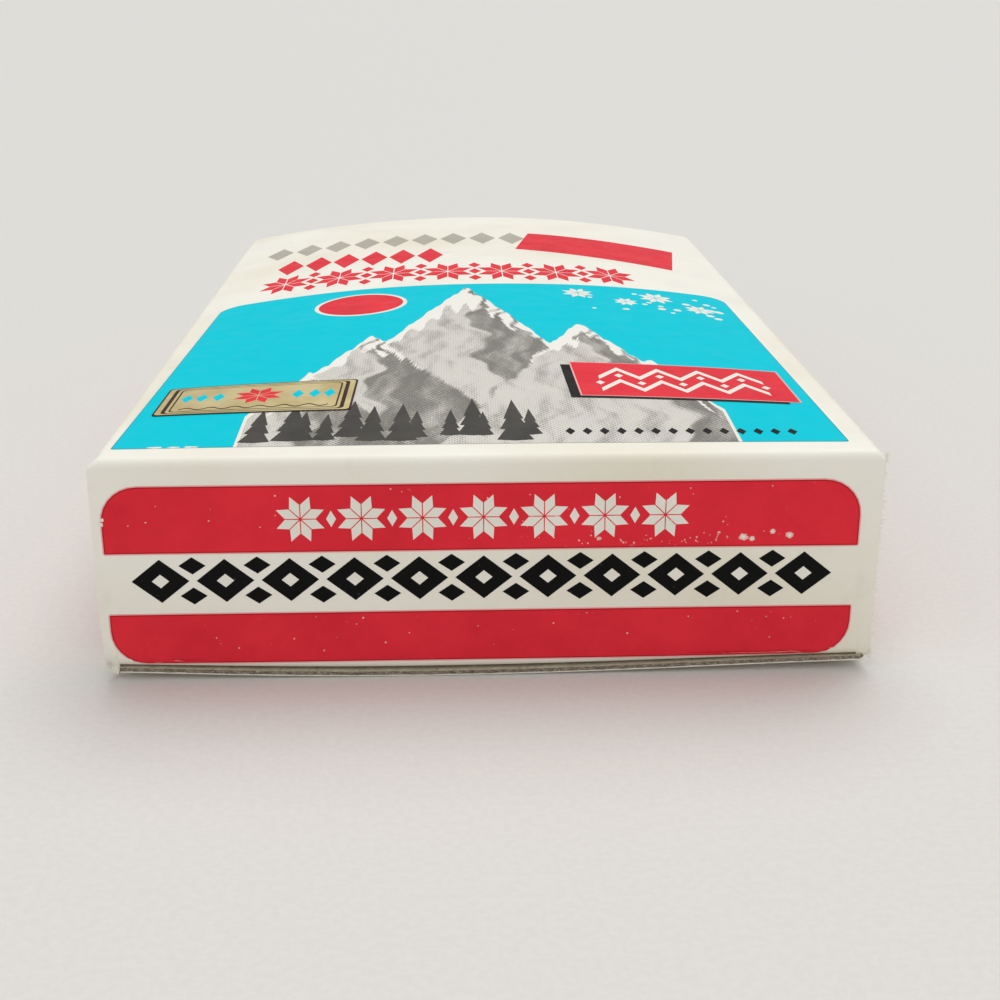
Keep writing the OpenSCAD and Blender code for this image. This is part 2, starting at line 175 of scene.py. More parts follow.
def shell(
    name: str,
    outer: Array,
    inner: Array,
    materials: Materials,
    wrap: bool = False,
    crease: float = 35.0,
) -> Piece:
    """Closed solid between two grids of points: a face, a back and the cut rim that joins them.

    Each rim quad takes an edge of the face's border backwards, then the same edge of the back.

    Args:
        name: The piece's name.
        outer: Points of the face in millimetres, (rows, columns, 3).
        inner: Points of the back, one for each of the face's.
        materials: One finish for all, or finishes of the face, the back and the rim.
        wrap: Whether the columns close on themselves.
        crease: Angle in degrees above which an edge is sharp.

    Returns:
        The new object, its faces pointing outwards.
    """
    rows, cols = outer.shape[:2]
    count = rows * cols
    face = grid_faces(rows, cols, wrap)
    number = np.arange(count).reshape(rows, cols)
    near, far = number[0], number[-1]
    borders = [(near, 1), (far, -1)]
    if not wrap:
        borders += [(number[:, 0], -1), (number[:, -1], 1)]
    rims = []
    for line, way in borders:
        a = line if wrap else line[:-1]
        b = np.roll(line, -1) if wrap else line[1:]
        a, b = (a, b) if way > 0 else (b, a)
        rims.append(np.stack([b, a, a + count, b + count], -1))
    rim = np.concatenate(rims)
    back = face[:, ::-1] + count
    points = np.concatenate([outer.reshape(-1, 3), inner.reshape(-1, 3)])
    corners = points[face]
    normal = np.cross(corners[:, 2] - corners[:, 0], corners[:, 3] - corners[:, 1])
    outwards = corners.mean(1) - points[face + count].mean(1)
    faces = np.concatenate([face, back, rim])
    if (normal * outwards).sum() < 0:
        faces = faces[:, ::-1]
    if len(materials) == 1:
        return make_object(name, points, [faces], materials, None, crease)
    slots = np.repeat([0, 1, 2], [len(face), len(back), len(rim)])
    made = make_object(name, points, [faces], materials, slots, crease)
    point_values(made, "inside", np.repeat([0.0, 1.0], count))
    return made


def fans(
    name: str,
    outlines: Array,
    surface: Surface,
    lift: float,
    materials: Materials,
    rings: int = 1,
    thick: float = 0.008,
) -> Piece:
    """Thin closed patches that follow a surface, each spread from its middle out to its outline.

    A point of ring s lies at middle + s * (outline - middle), so an outline may be any star shape.

    Args:
        name: The piece's name.
        outlines: Outlines in the surface's own two coordinates, (shapes, points, 2), in millimetres.
        surface: Gives the place of two coordinates at a height above the surface.
        lift: Height of the patches' undersides, in millimetres.
        materials: The finish.
        rings: How many rings lie between the middle and the outline.
        thick: Thickness of the patches.

    Returns:
        One object that holds all the patches.
    """
    shapes, around = outlines.shape[:2]
    middle = outlines.mean(1, keepdims=True)
    share = (np.arange(rings) + 1) / rings
    ringed = middle[:, None] + share[None, :, None, None] * (outlines - middle)[:, None]
    flat = np.concatenate([middle, ringed.reshape(shapes, rings * around, 2)], 1)
    per = 1 + rings * around
    top = surface(flat[..., 0], flat[..., 1], lift + thick)
    low = surface(flat[..., 0], flat[..., 1], lift)
    points = np.concatenate([top, low], 1).reshape(-1, 3)
    here = np.arange(around)
    after = (here + 1) % around
    tri = np.stack([np.zeros_like(here), 1 + here, 1 + after], -1)
    quad = np.roll(grid_faces(rings, around, True, 1)[:, ::-1], 1, axis=1)
    edge = 1 + (rings - 1) * around
    rim = np.stack([edge + after, edge + here, edge + here + per, edge + after + per], -1)
    corners = points[tri[0]]
    normal = np.cross(corners[1] - corners[0], corners[2] - corners[0])
    all_tri = np.concatenate([tri, tri[:, ::-1] + per])
    all_quad = np.concatenate([quad, quad[:, ::-1] + per, rim])
    if normal @ (points[0] - points[per]) < 0:
        all_tri, all_quad = all_tri[:, ::-1], all_quad[:, ::-1]
    step = (np.arange(shapes) * 2 * per)[:, None, None]
    return make_object(
        name, points, [(all_tri + step).reshape(-1, 3), (all_quad + step).reshape(-1, 4)], materials)


def rounded(x0: float, x1: float, y0: float, y1: float, radii: tuple[float, float, float, float],
            per_side: int = 24, per_corner: int = 8) -> Array:
    """Outline of a rectangle whose corners are arcs.

    Args:
        x0: Left side.
        x1: Right side.
        y0: Lower side.
        y1: Upper side.
        radii: Corner radii, from lower left round to upper left.
        per_side: Points along each side.
        per_corner: Points along each arc.

    Returns:
        Points of the outline, (points, 2).
    """
    corners = [(x0, y0, 1, 1), (x1, y0, -1, 1), (x1, y1, -1, -1), (x0, y1, 1, -1)]
    arcs = []
    for k, ((x, y, sx, sy), r) in enumerate(zip(corners, radii)):
        turn = np.linspace(0, np.pi / 2, per_corner) + np.pi * (1 + k / 2)
        arcs.append(np.stack([x + sx * r + r * np.cos(turn), y + sy * r + r * np.sin(turn)], -1))
    rows = []
    share = np.arange(1, per_side) / per_side
    for arc, following in zip(arcs, arcs[1:] + arcs[:1]):
        rows += [arc, arc[-1] + share[:, None] * (following[0] - arc[-1])]
    return np.concatenate(rows)


# ---------- shader building ----------


class Net:
    """The shader nodes of one material."""

    def __init__(self, material: bpy.types.Material) -> None:
        """Turns the material's nodes on and finds its shader."""
        material.use_nodes = True
        self.tree = material.node_tree
        self.shader = next(n for n in self.tree.nodes if n.type == "BSDF_PRINCIPLED")

    def put(self, socket: Socket, value: Value) -> None:
        """Links a value to a socket, or sets it there. A hex code is a colour."""
        if isinstance(value, Socket):
            self.tree.links.new(value, socket)
        else:
            socket.default_value = linear(value) if isinstance(value, str) else value

    def add(self, kind: str, inputs: dict | tuple | list = (), out: int | str = 0, **settings) -> Socket:
        """Adds one shader node.

        Args:
            kind: The node's type, without its ShaderNode prefix.
            inputs: Values or links in the order of the inputs, or by name or number.
            out: Name or number of the output that is wanted.
            settings: The node's own properties.

        Returns:
            That output.
        """
        made = self.tree.nodes.new("ShaderNode" + kind)
        for key, value in settings.items():
            setattr(made, key, value)
        for key, value in inputs.items() if isinstance(inputs, dict) else enumerate(inputs):
            self.put(made.inputs[key], value)
        return made.outputs[out]

    def place(self, scale: Triple = (1, 1, 1)) -> Socket:
        """Object coordinates in millimetres, stretched by scale."""
        size = tuple(s / MM for s in scale)
        return self.add("Mapping", {"Vector": self.add("TexCoord", out="Object"), "Scale": size})

    def pattern(self, place: Socket, size: float, detail: float = 2.0, rough: float = 0.5,
                between: Pair | None = None, give: Pair = (0, 1)) -> Socket:
        """Noise whose features are about size millimetres across.

        Args:
            place: Coordinates in millimetres.
            size: Size of a feature.
            detail: How many finer octaves it has.
            rough: Their strength.
            between: Levels of the noise that are stretched, and clamped, to the values in give.
            give: What those two levels give.

        Returns:
            The noise, or its stretched level.
        """
        inputs = {"Vector": place, "Scale": 1 / size, "Detail": detail, "Roughness": rough}
        noise = self.add("TexNoise", inputs)
        return self.add("MapRange", (noise, *between, *give)) if between else noise

    def tooth(self, place: Socket) -> Socket:
        """Relief of coated board: a grain of 0.28 mm fibres on slow waves of 1.8 mm."""
        waves = self.add("Math", (self.pattern(place, 1.8), 2.5), operation="MULTIPLY")
        return self.add("Math", (self.pattern(place, 0.28, 4, 0.6), waves), operation="ADD")

    def paint(self, color: Value, *layers: tuple[Socket, Value]) -> Value:
        """Lays colours over a first one, each by its own share."""
        for share, over in layers:
            color = self.add("Mix", {0: share, 6: color, 7: over}, 2, data_type="RGBA")
        return color

    def coat(self, inputs: dict[str, Value], height: Socket | None = None, depth: float = 0.0) -> None:
        """Gives the shader its inputs, and the relief of a height whose real size is depth millimetres."""
        if height:
            relief = {"Height": height, "Distance": depth * MM, "Strength": 1.0}
            inputs = {**inputs, "Normal": self.add("Bump", relief)}
        for name, value in inputs.items():
            self.put(self.shader.inputs[name], value)


@dataclass(frozen=True)
class Finish:
    """A finish of one real material. Subclasses say how its surface was made."""

    name: str
    color: str = "#808080"
    rough: float = 0.5

    def material(self) -> bpy.types.Material:
        """The finish's Blender material, made on first use."""
        found = bpy.data.materials.get(self.name)
        if found:
            return found
        made = bpy.data.materials.new(self.name)
        net = Net(made)
        net.coat({"Base Color": self.color, "Roughness": self.rough})
        self.dress(net)
        return made

    def dress(self, net: Net) -> None:
        """Adds the finish's pattern to the shader."""


@dataclass(frozen=True)
class CoatedBoard(Finish):
    """Clay-coated face of folding boxboard: a calendered white face that scuffs along its folds."""

    color: str = "#F4F1E6"
    rough: float = 0.52
    worn: str = "#C9C3B4"
    aged: str = "#E9E2CC"

    def dress(self, net: Net) -> None:
        """Adds yellowing in patches, grey fibres where folds have rubbed, and a faint tooth."""
        place = net.place()
        aged = net.pattern(place, 22, 3, 0.5, (0.42, 0.72), (0, 0.75))
        grime = net.pattern(place, 3.5, 6, 0.62, (0.6, 0.86), (0, 0.35))
        wear = net.add("Attribute", out="Fac", attribute_name="wear")
        rubbed = net.add("Math", (wear, net.pattern(place, 0.35, 5, 0.7)), operation="MULTIPLY")
        scuffs = net.add("MapRange", (rubbed, 0.52, 0.75, 0, 0.5))
        gloss = net.pattern(place, 6, 3, 0.5, (0.3, 0.7), (self.rough - 0.07, self.rough + 0.1))
        color = net.paint(self.color, (aged, self.aged), (grime, self.worn), (scuffs, self.worn))
        net.coat({"Base Color": color, "Roughness": gloss}, net.tooth(place), 0.012)


@dataclass(frozen=True)
class GreyBack(Finish):
    """Uncoated back of recycled board: warm grey pulp with dark and light flecks."""

    color: str = "#B5AA96"
    rough: float = 0.9
    fleck: str = "#7C7062"
    pale: str = "#CFC6B4"

    def dress(self, net: Net) -> None:
        """Adds flecks of two sizes and a felty tooth. The shader is matt."""
        place = net.place()
        pulp = net.pattern(place, 0.9, 5, 0.65, (0.35, 0.65))
        flecks = net.pattern(net.place((1, 0.4, 1)), 0.45, 3, 0.7, (0.6, 0.72), (0, 0.8))
        color = net.paint(self.color, (pulp, self.pale), (flecks, self.fleck))
        net.coat({"Base Color": color, "Specular IOR Level": 0.2}, net.pattern(place, 0.25, 5, 0.7), 0.03)


@dataclass(frozen=True)
class CutCore(Finish):
    """Die-cut edge of the board: torn grey-brown pulp between two thin liners."""

    color: str = "#9B9080"
    rough: float = 0.95
    dark: str = "#6A5F50"
    fibre: str = "#D9D3C5"
    liner: str = "#EDE9DD"

    def dress(self, net: Net) -> None:
        """Adds dark pits and pale torn fibres at the size of the board's thickness."""
        place = net.place((0.6, 0.6, 1.4))
        pits = net.pattern(place, 0.3, 4, 0.7, (0.4, 0.62))
        tufts = net.pattern(place, 0.18, 3, 0.6, (0.58, 0.7), (0, 0.75))
        inside = net.add("Attribute", out="Fac", attribute_name="inside")
        wobble = net.pattern(place, 0.6, 3, 0.5, (0.3, 0.7), (-0.08, 0.08))
        white = net.add("MapRange", (net.add("Math", (inside, wobble), operation="ADD"), 0.2, 0.28, 1, 0))
        color = net.paint(self.dark, (pits, self.color), (tufts, self.fibre), (white, self.liner))
        net.coat({"Base Color": color, "Specular IOR Level": 0.15}, net.pattern(place, 0.16, 4, 0.7), 0.09)


@dataclass(frozen=True)
class PressInk(Finish):
    """Solid offset ink under a thin varnish: even colour with pinholes, rub marks and a soft gloss."""

    rough: float = 0.5
    gloss: float = 0.1
    holes: float = 0.25
    paper: str = "#E8D9CC"
    deep: str = "#000000"
    deep_share: float = 0.12

    def dress(self, net: Net) -> None:
        """Adds a cloudy ink film, pinholes where paper shows, and the board's tooth under it."""
        place = net.place()
        cloud = net.pattern(place, 5.5, 4, 0.6, (0.35, 0.7), (0, self.deep_share))
        specks = net.pattern(place, 0.42, 3, 0.55, (0.70, 0.76), (0, self.holes))
        rubs = net.pattern(net.place((0.25, 1, 1)), 0.5, 3, 0.6, (0.72, 0.8), (0, self.holes * 0.8))
        bare = net.add("Math", (specks, rubs), operation="MAXIMUM")
        dull = net.pattern(place, 2.5, 3, 0.5, (0.3, 0.7), (self.rough - 0.06, self.rough + 0.12))
        color = net.paint(self.color, (cloud, self.deep), (bare, self.paper))
        net.coat({"Base Color": color, "Specular IOR Level": self.gloss, "Roughness": dull},
                 net.tooth(place), 0.01)


@dataclass(frozen=True)
class HalftoneInk(Finish):
    """Grey tones printed as a dot screen: dots of ink that swell where the tone darkens.

    Its dots are 0.36 mm apart, as in a coarse screen of about 70 lines to the inch.
    """

    color: str = "#D8D4CC"
    rough: float = 0.42
    dark: str = "#6A655E"
    snow: str = "#F4F1E8"
    pitch: float = 0.36
    low: float = 0.3
    high: float = 0.8

    def dress(self, net: Net) -> None:
        """Adds a screen turned 45 degrees, whose dots grow with the stored tone and a rocky noise."""
        place = net.place()
        turned_by = net.add("Mapping", {"Vector": place, "Rotation": (0, 0, np.pi / 4)})
        spot = net.add("TexVoronoi", {"Vector": turned_by, "Scale": 1 / self.pitch, "Randomness": 0.15},
                       "Distance", voronoi_dimensions="2D")
        streaks = net.pattern(net.place((1.0, 0.35, 1)), 3.2, 6, 0.66, (0.3, 0.75), (-0.22, 0.3))
        stored = net.add("Attribute", out="Fac", attribute_name="tone")
        tone = net.add("Math", (stored, streaks), operation="ADD")
        edge = net.add("Math", (tone, 0.62), operation="MULTIPLY")
        dots = net.add("MapRange", (net.add("Math", (edge, spot), operation="SUBTRACT"), -0.1, 0.1, 0, 0.85))
        wash = net.add("MapRange", (tone, self.low, self.high, 0, 0.6))
        bare = net.add("MapRange", (stored, -0.1, -0.02, 1, 0))
        color = net.paint(self.color, (wash, self.dark), (dots, self.dark), (bare, self.snow))
        net.coat({"Base Color": color, "Specular IOR Level": 0.25}, net.pattern(place, 0.3, 4, 0.6), 0.01)


@dataclass(frozen=True)
class GoldFoil(Finish):
    """Hot-stamped gold foil on a paper label: satin metal over the paper's grain."""

    color: str = "#DCCB98"
    rough: float = 0.42
    warm: str = "#C8B47C"

    def dress(self, net: Net) -> None:
        """Adds a slow change of warmth and fine lines rolled into the foil."""
        place = net.place()
        color = net.paint(self.color, (net.pattern(place, 4, 3, 0.5, (0.35, 0.65)), self.warm))
        lines = net.pattern(net.place((0.15, 1, 1)), 0.12, 3, 0.6, (0.3, 0.7),
                            (self.rough - 0.08, self.rough + 0.12))
        net.coat({"Base Color": color, "Metallic": 0.7, "Roughness": lines},
                 net.pattern(place, 0.3, 4, 0.6), 0.012)


@dataclass(frozen=True)
class Metal(Finish):
    """Sheet metal with the grain of its last pass: a brush, a mop or a drawing die."""

    rough: float = 0.28
    grain: Triple = (0.05, 1, 1)
    grain_size: float = 0.15
    depth: float = 0.004
    aniso: float = 0.0
    stain: str = "#6E675C"
    stain_share: float = 0.15

    def dress(self, net: Net) -> None:
        """Adds grain lines in colour, gloss and height, and faint stains."""
        lines = net.pattern(net.place(self.grain), self.grain_size, 4, 0.65)
        stains = net.pattern(net.place(), 7, 5, 0.6, (0.5, 0.8), (0, self.stain_share))
        lit = net.add("MapRange", (lines, 0.3, 0.7, 0, 0.22))
        gloss = net.add("MapRange", (lines, 0.25, 0.75, self.rough * 0.75, self.rough * 1.35))
        color = net.paint(self.color, (lit, "#FFFFFF"), (stains, self.stain))
        net.coat({"Base Color": color, "Metallic": 1.0, "Anisotropic": self.aniso, "Roughness": gloss},
                 lines, self.depth)


@dataclass(frozen=True)
class Fibres(Finish):
    """Cloth, felt, wadding or pressed fibre: matt threads with a soft sheen."""

    rough: float = 0.95
    pitch: float = 0.4
    tint: str = "#FFFFFF"
    sheen: float = 0.25
    weave: bool = False
    depth: float = 0.08

    def dress(self, net: Net) -> None:
        """Adds a nap of threads at their spacing, woven at right angles where the cloth is woven."""
        place = net.place()
        nap = height = net.pattern(place, self.pitch, 5, 0.7)
        if self.weave:
            bands = {"Vector": place, "Scale": 0.31 / self.pitch, "Distortion": 1.2, "Detail Scale": 2.0}
            waves = [net.add("TexWave", bands, "Fac", wave_type="BANDS", bands_direction=way) for way in "XY"]
            height = net.add("Math", (net.add("Math", waves, operation="MAXIMUM"),
                                      net.add("Math", (nap, 0.8), operation="MULTIPLY")), operation="ADD")
        cloud = net.add("Math", (net.pattern(place, self.pitch * 12, 3, 0.6), 0.6), operation="MULTIPLY")
        mottle = net.add("MapRange", (net.add("Math", (cloud, nap), operation="ADD"), 0.6, 1.1, 0, 0.55))
        net.coat({"Base Color": net.paint(self.color, (mottle, self.tint)), "Sheen Weight": self.sheen,
                  "Sheen Roughness": 0.5, "Specular IOR Level": 0.15}, height, self.depth)


@dataclass(frozen=True)
class Moulded(Finish):
    """Moulded plastic: even colour, faint flow marks and fine scratches."""

    rough: float = 0.35
    scatter: float = 0.0
    clear: float = 0.0
    flow: str = "#202020"

    def dress(self, net: Net) -> None:
        """Adds slow colour change, a fine orange peel and, in milky plastic, light inside it."""
        place = net.place()
        marks = net.pattern(place, 6, 3, 0.5, (0.35, 0.7), (0, 0.12))
        gloss = net.pattern(place, 0.6, 4, 0.5, (0.3, 0.7), (self.rough * 0.8, self.rough * 1.3))
        net.coat({"Base Color": net.paint(self.color, (marks, self.flow)), "Roughness": gloss,
                  "Subsurface Weight": self.scatter, "Subsurface Radius": (0.004, 0.004, 0.003),
                  "Transmission Weight": self.clear}, net.pattern(place, 0.9, 3), 0.01)


BOARD = (CoatedBoard("clay_coated_boxboard"), GreyBack("uncoated_grey_board_back"),
         CutCore("die_cut_board_edge"))
TEAL_INK = PressInk("teal_offset_ink", "#00CBDC", gloss=0.03, holes=0.06, deep="#00BACC", paper="#BDF0F2")
TEAL_EDGE = PressInk("teal_ink_squeezed_to_its_edge", "#009CAC", holes=0.1, deep="#00808E", paper="#BDF0F2")
RED_INK = PressInk("red_offset_ink", "#EA303E", holes=0.3, deep="#C81F2E", deep_share=0.45, paper="#F2B4B0")
RED_EDGE = PressInk("red_ink_squeezed_to_its_edge", "#C01A2A", holes=0.2, deep="#960F1E", paper="#F2B4B0")
PINK_EDGE = PressInk("thin_red_ink_halo", "#EFA9A6", holes=0.0, deep="#F4C6C0", deep_share=0.5)
SCUFF = PressInk("rubbed_off_red_ink", "#F3C3BC", holes=0.0, deep="#E48C88", deep_share=0.8)
BLACK_INK = PressInk("black_offset_ink", "#060606", gloss=0.12, holes=0.3, deep="#000000", paper="#77746E")
WHITE_INK = PressInk("unprinted_white", "#F1EEE4", holes=0.0, deep="#D8D2C2", deep_share=0.3)
GREY_INK = PressInk("warm_grey_ink", "#B9B6A8", holes=0.2, deep="#9C988C", deep_share=0.4)
BROWN_INK = PressInk("dark_brown_line_ink", "#3B2A1E", holes=0.2, deep="#000000")
SPRUCE_INK = PressInk("dark_grey_picture_ink", "#4C4944", holes=0.6, deep="#34322E", deep_share=0.6,
                      paper="#A9A49B")
ROCK_INK = HalftoneInk("halftone_grey_picture")
FIBRE = Fibres("torn_paper_fibre", "#F2EFE6", pitch=0.2, tint="#E2DDD0", sheen=0.0, depth=0.0)
LABEL_FOIL = GoldFoil("gold_foil_label")


# ---------- carton ----------


class End(Enum):
    """The carton's two ends. The far one is the near one turned half a turn about X."""

    NEAR = "front"
    FAR = "rear"


class Side(Enum):
    """The carton's two sides, as factors of X."""

    LEFT = -1
    RIGHT = 1


@dataclass
class Carton:
    """A tuck-end carton: one folded sleeve, a flap, a tuck tab and two dust flaps at each end.

    Sizes are in millimetres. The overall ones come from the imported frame. The board's face lies
    inside the frame's by skin, which leaves room for the ink.
    """

    skin: float = 0.06
    board: float = 0.55
    fold_r: float = 1.0
    arch_rise: float = 3.5
    flap_gap: float = 0.02
    tab_gap: float = 1.15
    tab_fold_r: float = 0.9
    tab_corner: float = 5.5
    dust_fold_r: float = 0.8
    dust_slope: float = 0.65
    dust_tip: float = 5.4
    dust_corner: float = 1.2
    curl_x: float = -7.0
    curl_left: float = 0.0013
    curl_right: float = 0.00078
    curl_depth: float = 13.0
    curl_most: float = 1.15
    lip_drop: float = 0.3
    ear_z: float = 1.3
    left_ear_z: float = 0.4
    bulge: float = 0.28
    bulge_from: float = -33.0
    bulge_to: float = -36.0
    bow: float = 0.1
    knock: float = 0.16
    knock_at: Pair = (-35.8, 1.6)
    dent: float = 0.16
    side_cut: float = 1.65
    dust_cut: float = 0.35
    roll_lap: float = 0.1

    def __post_init__(self) -> None:
        """Takes the overall sizes and the fold lines from the frame."""
        self.half_w = node_box("side_panel_right")[1][0]
        self.half_l = -node_box("front_flap")[0][1]
        self.hinge_z = joint("front_flap_swing")["pos_m"][2] / MM
        self.height = self.hinge_z + self.fold_r
        self.tab_y, self.tab_z = (v / MM for v in joint("front_tuck_fold")["pos_m"][1:])
        dust = np.array(joint("front_dust_left_swing")["pos_m"]) / MM
        self.dust_x, self.dust_y = dust[0], dust[1]
        low, high = node_box("front_dust_flap_left")
        self.dust_low, self.dust_high, self.dust_tip_x = low[2], high[2], high[0]
        self.tab_end = node_box("front_tuck_tab")[1][1]
        self.span = self.half_w - self.fold_r
        self.front_y = -self.half_l + self.fold_r
        self.back_y = node_box("top_panel")[1][1]
        self.core = [finish.material() for finish in BOARD]

    # -- surfaces --

    def arch(self, x: Array, y: Array) -> Array:
        """How far the top panel stands up: a parabola across, and 1 - (1 - v) ** 3 along its length v."""
        u = np.clip((x + self.span) / (2 * self.span), 0, 1)
        v = np.clip((y - self.front_y) / (self.back_y - self.front_y), 0, 1)
        return self.arch_rise * (1 - (1 - v) ** 3) * 4 * u * (1 - u)

    def dents(self, x: Array, y: Array) -> Array:
        """Shallow waves of handled board, 0 at the folds: two crossed sines times the arch's parabola."""
        u = np.clip((x + self.span) / (2 * self.span), 0, 1)
        v = np.clip((y - self.front_y) / 20, 0, 1)
        waves = 0.5 + 0.3 * np.sin(x / 7.3 + y / 19 + 0.8) + 0.2 * np.sin(y / 8.1 - x / 23)
        return self.dent * waves * 4 * u * (1 - u) * v

    def curl(self, x: Array, y: Array) -> Array:
        """How far the near end curls up from the table.

        The square of the distance from curl_x, levelled off towards curl_most, times a share that
        falls to 0 over curl_depth.
        """
        rate = np.where(x < self.curl_x, self.curl_left, self.curl_right)
        near = np.clip((self.curl_depth - self.half_l - y) / self.curl_depth, 0, 1) ** 1.5
        return self.curl_most * np.tanh(rate * (x - self.curl_x) ** 2 / self.curl_most) * near

    def top(self, x: Array, y: Array, lift: float) -> Array:
        """Points of the top panel's face at x and y, raised by lift."""
        z = self.height - self.skin + self.arch(x, y) - self.dents(x, y) + lift
        return np.stack([x, y, z], -1)

    def near_end(self, x: Array, z: Array, lift: float) -> Array:
        """Points of the near flap's face at x and z, brought forward by lift.

        A half sine down the flap times a parabola across bows it in, a bell at one place knocks it, and
        its foot turns under by a circle's fall at the tuck fold.
        """
        hang = np.clip((self.hinge_z - z) / (self.hinge_z - self.tab_z), 0, 1)
        bow = self.bow * np.sin(np.pi * hang) * (1 - (x / self.half_w) ** 2) * (1 + 0.4 * np.sin(x / 9.0))
        at_x, at_z = self.knock_at
        knock = self.knock * np.exp(-((x - at_x) / 0.7) ** 2 - ((z - at_z) / 0.8) ** 2)
        under = np.clip(self.tab_z + self.tab_rise(x, -self.half_l, End.NEAR) - z, 0, self.tab_fold_r * 0.9)
        tuck = self.tab_fold_r - np.sqrt(self.tab_fold_r ** 2 - under ** 2)
        return np.stack([x, -self.half_l + self.skin + bow + knock + tuck - lift, z], -1)

    def far_end(self, x: Array, z: Array, lift: float) -> Array:
        """Points of the far flap's face, the near one's turned half a turn about X."""
        return self.at_far_end(self.near_end(x, self.height - z, lift))

    def left_side(self, y: Array, z: Array, lift: float) -> Array:
        """Points of the left side panel's face."""
        return np.stack([np.full_like(y, -self.half_w + self.skin - lift), y, z], -1)

    def right_side(self, y: Array, z: Array, lift: float) -> Array:
        """Points of the right side panel's face."""
        return np.stack([np.full_like(y, self.half_w - self.skin + lift), y, z], -1)

    def at_far_end(self, points: Array) -> Array:
        """Turns points half a turn about X, through the middle of the carton's height."""
        return points * (1, -1, -1) + (0, 0, self.height)

    # -- sleeve --

    def loop(self, depth: float) -> tuple[Array, Array]:
        """Section of the sleeve at a depth under the board's face.

        Walls are straight and the four folds are quarter circles.

        Args:
            depth: Distance under the face of the solid, in millimetres.

        Returns:
            Points (x, z) from the bottom's left end round by the right side, and each one's wall:
            0 bottom, 1 right, 2 top, 3 left, and a half more in the fold after it.
        """
        r = self.fold_r - depth
        w, h = self.half_w - self.fold_r, self.height - self.fold_r
        turns = np.linspace(0, np.pi / 2, 9)[1:-1]
        across = np.linspace(-w, w, 57)
        up = np.concatenate([[self.fold_r, 1.4], np.linspace(self.dust_low, self.dust_high, 15),
                             [20.6, h]])
        up = np.sort(np.concatenate([up, [self.dust_low - 0.02, self.dust_high + 0.02]]))
        sin, cos = np.sin(turns), np.cos(turns)
        rows = [
            (across, depth, 0),
            (w + r * sin, self.fold_r - r * cos, 0.5),
            (self.half_w - depth, up, 1),
            (w + r * cos, h + r * sin, 1.5),
            (across[::-1], self.height - depth, 2),
            (-w - r * sin, h + r * cos, 2.5),
            (depth - self.half_w, up[::-1], 3),
            (-w - r * cos, self.fold_r - r * sin, 3.5),
        ]
        lines = [np.stack(np.broadcast_arrays(x, z), -1) for x, z, _ in rows]
        return np.concatenate(lines), np.repeat([row[2] for row in rows], [len(line) for line in lines])

    def sleeve(self) -> None:
        """The four panels as one folded sheet, its top arched towards the far end.

        Rows run along Y from each wall's near edge to its far edge. A point's height is its section's
        height plus the arch on the top panel, and plus the curl of the near corners on the bottom.
        """
        face, walls = self.loop(self.skin)
        back, _ = self.loop(self.board)
        side_y = self.half_l - self.side_cut
        start = np.select(
            [walls == 0, (walls > 1) & (walls < 3)],
            [-self.half_l + self.roll_lap, self.front_y + self.roll_lap], -side_y)
        stop = np.select([walls == 2, (walls > 1) & (walls < 3)], [self.back_y, side_y],
                         -self.front_y - self.roll_lap)
        corner = (walls == 0.5) & (face[:, 1] < 0.4)
        start = np.where(corner, -self.half_l + self.roll_lap + 2 * face[:, 1] ** 2, start)
        upright = (walls == 1) | (walls == 3)
        hinged = upright & (face[:, 1] >= self.dust_low) & (face[:, 1] <= self.dust_high)
        reach = side_y - self.dust_cut * hinged
        start = np.where(upright, -reach, start)
        stop = np.where(upright, reach, stop)
        share = (1 - np.cos(np.linspace(0, np.pi, 64))) / 2
        y = start + share[:, None] * (stop - start)
        on_top = (walls == 2).astype(float)
        low = np.where(walls == 0, 1.0, np.where(walls % 1 == 0.5, (walls != 1.5) * (walls != 2.5) * 1.0, 0))
        low = np.where(upright, np.clip(1 - (face[:, 1] - 1) / 12, 0, 1), low)
        grids = []
        for section in (face, back):
            x = np.broadcast_to(section[:, 0], y.shape)
            z = section[:, 1] + on_top * (self.arch(x, y) - self.dents(x, y)) + low * self.curl(x, y)
            grids.append(np.stack([x, y, z], -1))
        made = shell("carton_sleeve", *grids, self.core, wrap=True)
        folds = np.where(walls % 1 == 0.5, 1.0, 0.2)
        ends = 0.5 * ramp(2, 0, np.minimum(y - start, stop - y)) * (walls != 2)
        wear = np.clip(folds + ends, 0, 1.2)
        point_values(made, "wear", np.concatenate([wear, wear]))
        settle(made, "carton", "white_board", "top_panel", "bottom_panel", "side_panel_left",
               "side_panel_right")

    def glue_seam(self) -> None:
        """The strip of the blank that is glued inside the right side, with slanted ends."""
        low, high = node_box("glue_seam_flap")
        rows = np.linspace(0, 1, 40)
        cols = np.linspace(0, 1, 10)
        share, rise = np.meshgrid(rows, cols, indexing="ij")
        z = low[2] + rise * (high[2] - low[2])
        slant = 4.0 * rise
        y = low[1] + slant + share * (high[1] - low[1] - 2 * slant)
        back = np.stack([np.full_like(y, high[0]), y, z], -1)
        face = back - (high[0] - low[0], 0, 0)
        made = shell("glued_seam", face, back, [self.core[1], self.core[0], self.core[2]])
        settle(made, "carton", "raw_board", "glue_seam_flap")

    # -- ends --

